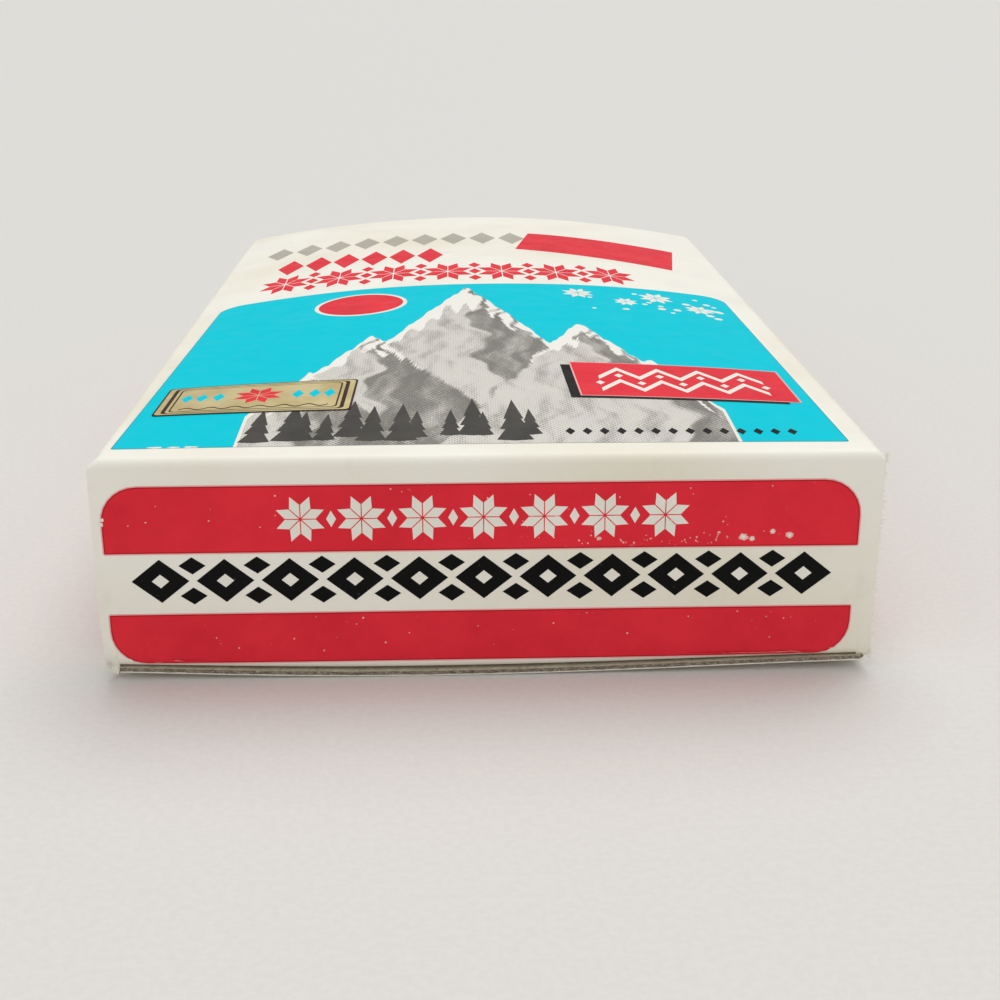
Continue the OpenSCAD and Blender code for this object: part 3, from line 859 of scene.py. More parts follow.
    def flap_grids(self, end: End) -> list[Array]:
        """Face and back of a flap, at the near end, with the rolled fold that joins it to its panel.

        Down each column the fold is a quarter ellipse about the fold's middle, which shrinks at the
        ends as the side folds round off, and then the flap hangs straight to the tuck fold. Beside the
        tuck tab, which is narrower, the flap's corners reach lower by ear.

        Args:
            end: The end that the flap is for.

        Returns:
            The two grids, in the near end's place.
        """
        half = self.half_w - self.flap_gap
        tab = self.half_w - self.tab_gap
        x = tab * np.sin(np.linspace(-1, 1, 67) * np.pi / 2)
        corner = np.array([tab + 0.02, 35.05, 35.3, 35.55, 35.8, half])
        x = np.concatenate([-corner[::-1], x, corner])
        out = self.bulged(x, end)
        turn = np.linspace(0, np.pi / 2, 11)
        hang = np.concatenate([np.linspace(0, 0.07, 9)[1:], np.linspace(0.07, 1, 26)[1:]])
        ear = np.where((x < -35) & (end is End.NEAR), self.left_ear_z + 0.6 * ramp(-35, -36, x), self.ear_z)
        low = np.where(np.abs(x) > tab + 0.01, ear, self.tab_z + self.tab_rise(x, -self.half_l, end))
        grids = []
        for depth in (self.skin, self.board):
            r = self.fold_r - depth
            over = np.clip(np.abs(x) - self.span, 0, r * 0.97)
            rise = np.sqrt(r ** 2 - over ** 2)
            y = np.concatenate([[self.front_y + self.roll_lap], self.front_y - r * np.sin(turn)])
            z = np.concatenate([[1.0], np.cos(turn)])[:, None] * rise + self.hinge_z
            if end is End.NEAR:
                z[0] += self.arch(x, y[0]) - self.dents(x, y[0])
            wide = x - out * np.concatenate([[0.0], np.sin(turn)])[:, None]
            fold = np.stack([wide, np.broadcast_to(y[:, None], z.shape), z], -1)
            drop = self.hinge_z + hang[:, None] * (low - self.hinge_z)
            flat = self.near_end(np.broadcast_to(x, drop.shape), drop, 0) + (0, depth - self.skin, 0)
            flat[..., 0] -= out * (1 + 0.5 * np.sin(np.pi * hang))[:, None]
            grids.append(np.concatenate([fold, flat]))
        return grids

    def bulged(self, x: Array, end: End) -> Array:
        """How far the near end's left edge bulges out, rising smoothly between two places of x."""
        return self.bulge * ramp(self.bulge_from, self.bulge_to, x) * (end is End.NEAR)

    def tab_rise(self, x: Array, y: Array | float, end: End) -> Array:
        """How far a tuck fold and tab are pushed up: at the near end by four fifths of the curl."""
        if end is End.FAR:
            return 0 * x * y
        return 0.8 * self.curl(x, y + 0 * x) - self.lip_drop

    def tab_grids(self, end: End) -> list[Array]:
        """Face and back of a tuck tab with its rolled fold, at the near end.

        Each column runs round a quarter circle and on to the tab's end, an arc at its corners. Its left
        edge follows the flap's bulge near the fold.

        Args:
            end: The end that the tab is for.

        Returns:
            The two grids, in the near end's place.
        """
        half = self.half_w - self.tab_gap
        x = half * np.sin(np.linspace(-1, 1, 65) * np.pi / 2)
        over = np.clip(np.abs(x) - (half - self.tab_corner), 0, self.tab_corner)
        stop = self.tab_end - self.tab_corner + np.sqrt(self.tab_corner ** 2 - over ** 2)
        turn = np.linspace(0, np.pi / 2, 9)
        share = np.linspace(0, 1, 18)[1:]
        fold_y = -self.half_l + self.tab_fold_r
        grids = []
        for depth in (self.skin, self.board):
            r = self.tab_fold_r - depth
            y = np.concatenate([
                np.broadcast_to((fold_y - r * np.cos(turn))[:, None], (9, len(x))),
                fold_y + share[:, None] * (stop - fold_y)])
            wide = x - self.bulged(x, end) * ramp(fold_y + 8, fold_y, y)
            z = np.concatenate([self.tab_z - r * np.sin(turn), np.full(len(share), self.tab_z - r)])
            grids.append(np.stack([wide, y, z[:, None] + self.tab_rise(wide, y, end)], -1))
        return grids

    def dust_grids(self) -> list[Array]:
        """Face and back of the left dust flap, with the upright fold that joins it to the side.

        Each row runs round a quarter circle and on straight, between a bottom and a crown line that
        slope in towards the tip.
        """
        reach = self.dust_tip_x - self.dust_x
        tip_high = self.dust_high - self.dust_slope * reach
        tip_low = tip_high - self.dust_tip
        c = self.dust_corner
        along = np.concatenate([np.linspace(0, c, 4), np.linspace(c, reach - c, 12)[1:],
                                np.linspace(reach - c, reach, 5)[1:]])
        high = np.interp(along, [0, reach - c, reach],
                         [self.dust_high, tip_high + c * self.dust_slope, tip_high - c])
        low = np.interp(along, [0, c, reach - c, reach],
                        [self.dust_low, self.dust_low, tip_low - c * 0.2, tip_low + c])
        turn = np.linspace(0, np.pi / 2, 9)
        rise = np.linspace(0, 1, 19)
        side_y = self.dust_y + self.dust_fold_r
        grids = []
        for depth in (self.skin, self.board):
            r = self.dust_fold_r - depth
            x = np.concatenate([[-self.half_w + depth], self.dust_x - r * np.cos(turn),
                                self.dust_x + along[1:]])
            y = np.concatenate([[side_y + self.dust_cut], side_y - r * np.sin(turn),
                                np.full(len(along) - 1, side_y - r)])
            bottom = np.concatenate([np.full(len(turn) + 1, self.dust_low), low[1:]])
            crown = np.concatenate([np.full(len(turn) + 1, self.dust_high), high[1:]])
            z = bottom + rise[:, None] * (crown - bottom)
            grids.append(np.stack([np.broadcast_to(x, z.shape), np.broadcast_to(y, z.shape), z], -1))
        return grids

    def close_end(self, end: End) -> None:
        """Makes one end's flap, tuck tab and dust flaps, each with its rolled fold.

        Args:
            end: Which end to make.
        """
        def placed(points: Array) -> Array:
            return points if end is End.NEAR else self.at_far_end(points)

        def fold(piece: Piece, bodies: tuple[str, str], start: tuple, stop: tuple,
                 slot: str) -> None:
            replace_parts(piece, bodies[1])
            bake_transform(piece)

        name = end.value
        flap = shell(f"{name}_flap_board", *map(placed, self.flap_grids(end)), self.core)
        z = np.array([v.co.z for v in flap.data.vertices]) / MM
        z = z if end is End.NEAR else self.height - z
        wear = 0.2 + 0.55 * ramp(20.6, 21.6, z) + 0.9 * ramp(2.6, 1.6, z)
        point_values(flap, "wear", np.clip(wear, 0, 1.1))
        fold(flap, ("carton", f"{name}_flap"), (0, -self.half_l, self.hinge_z + 0.3),
             (0, -self.half_l, self.hinge_z - 0.5), "printed_end")
        tab = shell(f"{name}_tuck_tab_board", *map(placed, self.tab_grids(end)), self.core)
        point_values(tab, "wear", np.full(len(tab.data.vertices), 0.6))
        fold(tab, (f"{name}_flap", f"{name}_tuck_tab"), (0, self.tab_y - 0.5, self.tab_z),
             (0, self.tab_y + 0.45, self.tab_z - 0.6), "white_board")
        for side in Side:
            grids = [g * (-side.value, 1, 1) for g in self.dust_grids()]
            key = f"{name}_dust_flap_{side.name.lower()}"
            dust = shell(f"{key}_board", *map(placed, grids), self.core)
            point_values(dust, "wear", np.full(len(dust.data.vertices), 0.55))
            x = -side.value * self.dust_x
            out = side.value * self.dust_cut
            middle = self.height / 2
            fold(dust, ("carton", key), (x + out, self.dust_y, middle), (x - out, self.dust_y, middle),
                 "white_board")


# ---------- print ----------


@dataclass
class Print:
    """The ink on the carton: a teal panel with a winter scene, red bands and rows of knitted motifs.

    Sizes are in millimetres, on the panel that each piece lies on.
    """

    carton: Carton
    ink: float = 0.008
    film: float = 0.0072
    rim: float = 0.13
    halo: float = 0.12
    panel_near: Triple = (-34.7, 33.3, -54.95)
    panel_far: Triple = (-32.7, 32.1, 5.0)
    panel_skew: float = 1.6
    panel_r: float = 3.0
    panel_w: float = 68.0
    peaks: tuple = ((18.2, -29.0, 2.1, 4.6), (-18.6, -33.0, 4.6, 2.0), (11.4, -15.0, 2.5, 2.7),
                    (-12.4, -20.0, 2.5, 2.1), (-1.5, 2.6, 2.8, 3.0))
    snow_down: tuple = (6.0, 5.0, 9.0, 8.0, 14.0)
    sun: Pair = (-14.6, -4.4)
    plate: tuple = ((9.6, -41.9), (31.5, -42.5), (31.3, -31.2), (9.2, -31.0))
    upper_band: Pair = (12.85, 19.3)
    lower_band: Pair = (1.75, 6.75)
    far_up: float = 0.55
    side_up: float = 0.3
    scuff_z: float = 13.95
    chip_y: float = -54.75

    def lay(self, name: str, outlines: Array, surface: Surface, finish: Finish, layer: int = 1,
            body: str = "carton", slot: str = "printed_top", rings: int = 1) -> Piece:
        """Prints flat shapes onto a panel.

        Args:
            name: The piece's name.
            outlines: One outline or several of equal length.
            surface: The panel's face.
            finish: The ink.
            layer: Its place in the stack of inks, from 1.
            body: The body that it rides on.
            slot: The record's material slot. Not used.
            rings: Rings that bend with the panel.

        Returns:
            The printed piece.
        """
        shapes = np.asarray(outlines, float)
        shapes = shapes[None] if shapes.ndim == 2 else shapes
        made = fans(name, shapes, surface, layer * self.ink, [finish.material()], rings, self.film)
        return settle(made, body, slot)

    def sheet_of_ink(self, name: str, x: Array, y: Array, surface: Surface, finish: Finish,
                     layer: int) -> Piece:
        """Prints one grid of points onto the top panel as a closed film.

        Args:
            name: The piece's name.
            x: First coordinates on the panel, (rows, columns).
            y: Second coordinates.
            surface: The panel's face.
            finish: The ink.
            layer: Its place in the stack of inks, from 1.

        Returns:
            The printed piece.
        """
        lift = layer * self.ink
        made = shell(name, surface(x, y, lift + self.film), surface(x, y, lift), [finish.material()])
        return settle(made, "carton", "printed_top")

    @staticmethod
    def lozenges(centres: Array, wide: float, high: float) -> Array:
        """Diamonds of one size about the given centres."""
        corners = np.array([(1, 0), (0, 1), (-1, 0), (0, -1)]) * (wide / 2, high / 2)
        return np.asarray(centres, float)[:, None] + corners

    @staticmethod
    def snow_stars(centres: Array, wide: float, high: float) -> Array:
        """Eight-pointed knitted stars: eight lean diamonds round each centre.

        Diamond k has one corner near the centre, two at 0.6 of the reach and one at the full reach,
        turned 45 k degrees.
        """
        turn = (np.arange(8) + 0.5) * np.pi / 4
        side = np.pi / 8 * 0.92
        reach = np.array([0.06, 0.6, 1.0, 0.6]) / 2
        angle = turn[:, None] + np.array([0, -side, 0, side])
        star = np.stack([reach * np.cos(angle) * wide, reach * np.sin(angle) * high], -1)
        return (np.asarray(centres, float)[:, None, None] + star).reshape(-1, 4, 2)

    @staticmethod
    def discs(centres: Array, sizes: Array, points: int = 20) -> Array:
        """Discs of the given diameters."""
        turn = np.linspace(0, 2 * np.pi, points, endpoint=False)
        ring = np.stack([np.cos(turn), np.sin(turn)], -1)
        return np.asarray(centres, float)[:, None] + ring * (np.asarray(sizes)[:, None, None] / 2)

    @staticmethod
    def blots(centres: Array, sizes: Array, seed: int, points: int = 14) -> Array:
        """Ragged spots: circles whose radius wanders by a third from point to point."""
        rng = np.random.default_rng(seed)
        turn = np.linspace(0, 2 * np.pi, points, endpoint=False)
        reach = rng.uniform(0.62, 1.0, (len(centres), points)) * np.asarray(sizes)[:, None] / 2
        spots = np.stack([reach * np.cos(turn), reach * np.sin(turn)], -1)
        return np.asarray(centres, float)[:, None] + spots

    @staticmethod
    def walk(corners: Array, per_side: int) -> Array:
        """Points along the straight sides of a polygon."""
        share = np.linspace(0, 1, per_side, endpoint=False)[:, None]
        return np.concatenate([a + share * (b - a) for a, b in zip(corners, np.roll(corners, -1, 0))])

    @staticmethod
    def row(count: int, x0: float, x1: float, z: float) -> Array:
        """Evenly spaced centres on one level."""
        return np.stack([np.linspace(x0, x1, count), np.full(count, z)], -1)

    # -- top panel --

    def field(self, inset: float) -> Array:
        """Outline of the teal field: a rounded rectangle drawn in, skewed and tapered to the far edge."""
        (near0, near1, y0), (far0, far1, y1) = self.panel_near, self.panel_far
        u0, u1, r = inset, self.panel_w - inset, self.panel_r
        flat = rounded(u0, u1, inset, y1 - y0 - inset, (0.3, 0.3, r, r), 60, 10)
        u, v = flat[:, 0] / self.panel_w, flat[:, 1] / (y1 - y0)
        x = (near0 + u * (near1 - near0)) * (1 - v) + (far0 + u * (far1 - far0)) * v
        return np.stack([x, y0 + v * (y1 - y0 + self.panel_skew * (u - 0.5) * 2)], -1)

    def skyline(self, x: Array) -> Array:
        """Height of the mountains at x.

        Each peak falls off to both sides at its own rates; small waves roughen the highest of them.
        """
        lines = np.stack([top - np.where(x < at, (at - x) * left, (x - at) * right)
                          for at, top, left, right in self.peaks])
        jag = 0.7 * np.abs(np.sin(x * 1.35 + 0.4)) + 0.5 * np.abs(np.sin(x * 2.9 + 1)) - 0.5
        near = self.panel_near[2] + 0.05
        return np.maximum(lines.max(0) + jag, near)

    def tones(self, x: Array, y: Array) -> Array:
        """Tone of the mountains: 0 pale to 1 dark, and below 0 where snow lies.

        A point belongs to the first peak, from the front, whose slopes pass over it. Left of that
        peak's wandering ridge line the tone is pale, right of it dark, with slanting gullies, and
        the snow line hangs in teeth.
        """
        sway = 0.8 * np.sin(y * 0.31 + x * 0.7) + 0.5 * np.sin(y * 0.83 + 1 + x)
        reach = np.stack([top - np.where(x < at, (at - x) * left, (x - at) * right) - y + sway
                          for at, top, left, right in self.peaks])
        under = reach > 0
        pick = np.where(under.any(0), under.argmax(0), reach.argmax(0))
        below = np.take_along_axis(reach, pick[None], 0)[0]
        at = np.array([p[0] for p in self.peaks])[pick]
        top = np.array([p[1] for p in self.peaks])[pick]
        down = top - y
        ridge = at + 1.1 * np.sin(down * 0.42 + pick) + 0.5 * np.sin(down * 1.1 + 2 * pick) + 0.05 * down
        dark = ramp(-0.25, 0.25, x - ridge)
        gully = np.sin((x - ridge) * 1.25 + np.where(dark > 0.5, 1, -1) * down * 0.3 + pick)
        fine = np.sin((x - ridge) * 3.1 + down * 0.55 + 1.7 * pick)
        tone = 0.24 + 0.42 * dark + 0.13 * ramp(-0.3, 0.5, gully) + 0.05 * fine
        tone = tone - 0.10 * ramp(30, 55, down)
        reach_down = np.array(self.snow_down)[pick]
        teeth = 0.62 + 0.38 * np.sin(x * 2.1 + pick) * np.cos(x * 0.9)
        snow = below < reach_down * teeth * np.clip(1 - np.abs(x - at) / (reach_down * 0.75), 0, 1)
        return np.where(snow & ~((dark > 0.5) & (fine > 0.55)), -0.2, tone)

    def mountains(self) -> None:
        """The grey halftone mountains with snow on their peaks, a white outline and a few spruces.

        Columns run up from the panel's near edge to the skyline.
        """
        top = self.carton.top
        near = self.panel_near[2]
        x = np.linspace(-23.2, 23.0, 190)
        crest = self.skyline(x)
        rise = np.linspace(0, 1, 90)[:, None]
        y = near + rise * (crest - near)
        wide = np.broadcast_to(x, y.shape)
        picture = self.sheet_of_ink("mountain_picture", wide, y, top, ROCK_INK, 4)
        tone = self.tones(wide, y)
        point_values(picture, "tone", np.concatenate([tone, tone]))
        out = x + 0.34 * np.sign(x) * ramp(21.5, 23.1, np.abs(x))
        y = near + rise[::3] * (crest + 0.85 - near)
        self.sheet_of_ink("mountain_outline", np.broadcast_to(out, y.shape), y, top, WHITE_INK, 3)
        rng = np.random.default_rng(12)
        x = np.linspace(-21.5, 4.5, 13) + rng.uniform(-0.7, 0.7, 13)
        feet = rng.uniform(-54.2, -52.6, 13)
        tall = rng.uniform(6.0, 11.0, 13)
        tiers = []
        for share, wide_share in ((0.0, 1.0), (0.25, 0.8), (0.5, 0.56)):
            low, high = feet + tall * share, feet + tall * min(1.0, share + 0.5)
            half = tall * 0.16 * wide_share
            corners = [(x - half, low), (x, low - 0.25), (x + half, low), (x, high)]
            tiers.append(np.stack([np.stack(c, -1) for c in corners], 1))
        self.lay("spruces", np.concatenate(tiers), top, SPRUCE_INK, 5)

    def top_panel(self) -> None:
        """Prints the top panel: teal field, mountains, sun, plate, snow and the motifs beyond them."""
        top = self.carton.top
        self.lay("teal_edge", self.field(0), top, TEAL_EDGE, 1, rings=30)
        self.lay("teal_panel", self.field(self.rim), top, TEAL_INK, 2, rings=30)
        self.lay("low_sun_halo", self.discs([self.sun], [11.4], 72), top, WHITE_INK, 3, rings=8)
        self.lay("low_sun", self.discs([self.sun], [10.4], 72), top, RED_INK, 3.3, rings=8)
        self.mountains()
        plate = np.array(self.plate)
        middle = plate.mean(0)
        grown = (plate - middle) * (1.016, 1.03) + middle
        self.lay("plate_shadow", self.walk(plate, 16) + (-1.15, -0.8), top, BLACK_INK, 6, rings=6)
        self.lay("plate_halo", self.walk(grown, 16), top, PINK_EDGE, 7, rings=6)
        self.lay("red_plate", self.walk(plate, 16), top, RED_INK, 8, rings=6)
        x = np.linspace(11.8, 29.0, 121)
        wave = 1.5 * (2 / np.pi) * np.arcsin(np.sin((x - 11.8) * 2 * np.pi / 4.3 - np.pi / 2))
        for k, level in enumerate((-34.6, -38.6)):
            y = level + wave + np.array([[-0.55], [0.55]])
            self.sheet_of_ink(f"plate_zigzag_{k + 1}", np.broadcast_to(x, y.shape), y, top, WHITE_INK, 9)
        between = np.concatenate([self.row(4, 13.95, 26.85, -35.35), self.row(5, 11.8, 29.0, -37.8)])
        self.lay("plate_lozenges", self.lozenges(between, 0.95, 1.3), top, WHITE_INK, 9)
        rng = np.random.default_rng(4)
        snow = np.stack([rng.uniform(10.5, 30.5, 24), rng.uniform(-9.5, 3.2, 24)], -1)
        self.lay("snow_flecks", self.discs(snow, rng.uniform(0.5, 1.1, 24)), top, WHITE_INK, 3)
        crystals = ((12.6, 0.8, 4.2), (18.4, -2.6, 3.2), (22.6, 0.9, 4.6), (27.6, -3.4, 3.8))
        for k, (x, y, size) in enumerate(crystals):
            star = self.snow_stars(np.array([(x, y)]), size, size * 1.25)
            self.lay(f"snow_crystal_{k + 1}", star, top, WHITE_INK, 3)
        ticks = self.row(14, 7.6, 28.6, -52.1)
        self.lay("edge_lozenges", self.lozenges(ticks, 0.95, 1.75), top, BLACK_INK, 6)
        chips = self.blots(np.array([(-30.7, -54.75), (-29.0, -54.8), (-27.4, -54.7)]), [1.9, 1.4, 1.7], 3)
        self.lay("teal_chips", chips * (1, 0.28) + (0, self.chip_y * 0.72), top, WHITE_INK, 3)
        self.far_rows()

    def far_rows(self) -> None:
        """Prints the rows of motifs and the slanted bar on the white beyond the teal panel."""
        top = self.carton.top
        big = self.row(7, -25.8, 18.0, 13.2)
        self.lay("red_star_row", self.snow_stars(big, 7.0, 11.6), top, RED_INK, 1, rings=2)
        between = (big[1:] + big[:-1]) / 2
        for k, level in enumerate((4.1, 0.0, -4.1)):
            self.lay(f"red_lozenge_row_{k + 1}", self.lozenges(between + (0, level), 1.7, 3.3), top, RED_INK)
        for name, line, size, finish in (("red_diamond_row", (6, -26.2, -6.4, 25.0), (3.7, 10.5), RED_INK),
                                         ("grey_diamond_row", (9, -29.0, 5.6, 37.8), (3.9, 9.5), GREY_INK)):
            self.lay(name, self.lozenges(self.row(*line), *size), top, finish, rings=2)
        bar = np.array([(5.9, 29.1), (27.9, 22.5), (30.2, 38.7), (8.4, 42.5)])
        self.lay("slanted_bar", self.walk(bar, 12), top, RED_INK, 1, rings=6)

    # -- ends and sides --

    def bands(self, tag: str, face: Surface, body: str, spans: tuple, slot: str, shift: float = 0.0) -> None:
        """Prints the two red bands with their pale halo and heavy rim.

        Args:
            tag: Start of the pieces' names.
            face: The panel's surface.
            body: The body that they ride on.
            spans: Ends of the upper and of the lower band.
            slot: The record's material slot. Not used.
            shift: How far the bands stand higher than on the near end.
        """
        (a0, a1), (b0, b1) = spans
        for part, (x0, x1, z0, z1, radii) in (
            ("upper_band", (a0, a1, *self.upper_band, (0.1, 0.1, 3.5, 3.4))),
            ("lower_band", (b0, b1, *self.lower_band, (3.3, 3.4, 0.1, 0.1))),
        ):
            for name, finish, out, layer in (("_halo", PINK_EDGE, self.halo, 1), ("_rim", RED_EDGE, 0.0, 2),
                                             ("", RED_INK, -self.rim, 3)):
                grown = tuple(max(r + out, 0.02) for r in radii)
                shape = rounded(x0 - out, x1 + out, z0 - out + shift, z1 + out + shift, grown, 60)
                self.lay(f"{tag}_{part}{name}", shape, face, finish, layer, body, slot, 10)

    def end_panel(self, end: End) -> None:
        """Prints an end flap: two red bands with rounded outer corners and two rows of motifs.

        Args:
            end: Which end to print.
        """
        near = end is End.NEAR
        face = self.carton.near_end if near else self.carton.far_end
        body = f"{end.value}_flap"
        tag = "near" if near else "far"

        def stamp(name: str, shapes: Array, finish: Finish, layer: int, rings: int = 1) -> None:
            self.lay(f"{tag}_{name}", shapes, face, finish, layer, body, "printed_end", rings)

        up = 0.0 if near else self.far_up
        self.bands(tag, face, body, ((-35.4, 34.0), (-35.45, 33.85)), "printed_end", up)
        stamp("snow_stars", self.snow_stars(self.row(7, -17.4, 16.0, 16.05 + up), 4.7, 4.7), WHITE_INK, 4)
        stamp("star_dots", self.lozenges(self.row(6, -14.6, 13.2, 16.05 + up), 0.9, 1.6), WHITE_INK, 4)
        big = self.row(11, -30.5, 29.1, 10.1 + up)
        stamp("lozenge_row", self.lozenges(big, 5.3, 4.3), BLACK_INK, 1)
        stamp("lozenge_eyes", self.lozenges(big, 1.6, 1.35), WHITE_INK, 2)
        gaps = (big[1:] + big[:-1]) / 2
        for k, rise in enumerate((1.5, -1.5)):
            stamp(f"small_lozenges_{k + 1}", self.lozenges(gaps + (0, rise), 2.5, 1.7), BLACK_INK, 1)
        if near:
            self.scuffs(face, body)

    def scuffs(self, face: Surface, body: str) -> None:
        """Places where the near end's red ink has rubbed off: five spots in a row and fine specks."""
        def mark(name: str, shapes: Array, finish: Finish, layer: int = 4) -> None:
            self.lay(name, shapes, face, finish, layer, body, "printed_end")

        spots = np.array([(9.9, 13.75), (21.0, 14.3), (23.3, 13.75), (24.1, 13.55), (26.0, 14.35),
                          (27.6, 13.9)])
        sizes = np.array([0.55, 0.35, 1.05, 0.7, 0.7, 0.85])
        flat, level = (1, 0.85), (0, 0.15 * self.scuff_z)
        mark("scuff_spots", self.blots(spots, sizes, 5) * flat + level, SCUFF)
        mark("scuff_hearts", self.blots(spots[2:], sizes[2:] * 0.5, 6) * flat + level, WHITE_INK, 5)
        rng = np.random.default_rng(9)
        specks = np.concatenate([
            np.stack([rng.uniform(8, 22, 34), 13.2 + np.abs(rng.normal(0, 0.55, 34))], -1),
            np.stack([rng.uniform(-34, 32, 46), rng.uniform(13.2, 18.9, 46)], -1),
            np.stack([rng.uniform(-33, 32, 26), rng.uniform(2.6, 6.4, 26)], -1)])
        mark("ink_specks", self.blots(specks, rng.uniform(0.08, 0.26, len(specks)), 7, 6), SCUFF)
        nick = np.array([(-35.45, 15.75), (-35.3, 16.2)])
        mark("band_nick", self.blots(nick, [0.55, 0.4], 2), WHITE_INK)

    def side_panel(self, side: Side) -> None:
        """Prints a side panel with the same bands and stars as the ends, a guess for what isn't in view.

        Args:
            side: Which side to print.
        """
        face = self.carton.left_side if side is Side.LEFT else self.carton.right_side
        tag = f"{side.name.lower()}_side"
        self.bands(tag, face, "carton", ((-52.5, 52.5), (-52.5, 52.5)), "printed_top", self.side_up)
        big = self.row(17, -47.6, 47.6, 10.2)
        for name, shapes, finish, layer in (
            ("stars", self.snow_stars(self.row(11, -30.0, 30.0, 16.35), 4.7, 4.7), WHITE_INK, 4),
            ("dots", self.lozenges(self.row(10, -27.0, 27.0, 16.35), 0.9, 1.6), WHITE_INK, 4),
            ("lozenges", self.lozenges(big, 5.3, 4.3), BLACK_INK, 1),
            ("eyes", self.lozenges(big, 1.6, 1.35), WHITE_INK, 2),
        ):
            self.lay(f"{tag}_{name}", shapes, face, finish, layer)


# ---------- label ----------


@dataclass
class FoilLabel:
    """The gold foil label near the top panel's left edge: foil inside printed frame lines."""

    carton: Carton
    turn: float = -0.03
    thick: float = 0.06
    corner: float = 0.45

    def build(self) -> None:
        """Makes the label, its printed lines and its small knitted motif, all following the panel."""
        low, high = node_box("foil_sticker")
        middle = (low[:2] + high[:2]) / 2
        half = (high[:2] - low[:2]) / 2
        spin = np.array([[np.cos(self.turn), -np.sin(self.turn)], [np.sin(self.turn), np.cos(self.turn)]])
        base = 0.055

        def ring(inset: Pair) -> Array:
            x, y = half - inset
            return rounded(-x, x, -y, y, (self.corner,) * 4, 14, 5) @ spin.T + middle

        def layer(name: str, outline: Array, lift: float, thick: float, finish: Finish,
                  rings: int = 6) -> Piece:
            shapes = outline if outline.ndim == 3 else outline[None]
            made = fans(name, shapes, self.carton.top, base + lift, [finish.material()], rings, thick)
            return settle(made, "carton", "gold_foil")

        top = self.thick
        layer("label_paper_edge", ring((0, 0)), 0, top, BROWN_INK)
        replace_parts(layer("foil_label", ring((0.2, 0.2)), top, 0.008, LABEL_FOIL), "foil_sticker")
        layer("label_dark_frame", ring((0.75, 0.5)), top + 0.008, 0.004, BROWN_INK)
        layer("label_gold_line", ring((1.15, 0.62)), top + 0.012, 0.004, LABEL_FOIL)
        layer("label_inner_line", ring((1.45, 0.95)), top + 0.016, 0.004, BROWN_INK)
        layer("label_field", ring((1.62, 1.07)), top + 0.02, 0.006, LABEL_FOIL)
        motif = top + 0.026
        star = Print.snow_stars(np.array([(0.0, 0.55)]), 5.2, 5.2) @ spin.T + middle
        layer("label_star", star, motif, 0.003, RED_INK, 1)
        centres = np.array([(s * x, 0.55) for x in (4.0, 5.7, 7.2) for s in (-1, 1)])
        diamonds = Print.lozenges(centres, 1.25, 2.6) @ spin.T + middle
        layer("label_lozenges", diamonds, motif, 0.003, TEAL_INK, 1)
        x = np.linspace(-7.4, 7.4, 121)
        y = -3.05 + 0.3 * np.sin(x * 2.6) + np.array([[-0.13], [0.13]])
        line = np.stack([np.broadcast_to(x, y.shape), y], -1) @ spin.T + middle
        faces = [self.carton.top(line[..., 0], line[..., 1], base + motif + lift) for lift in (0.003, 0)]
        settle(shell("label_wave_line", *faces, [BROWN_INK.material()]), "carton", "gold_foil")


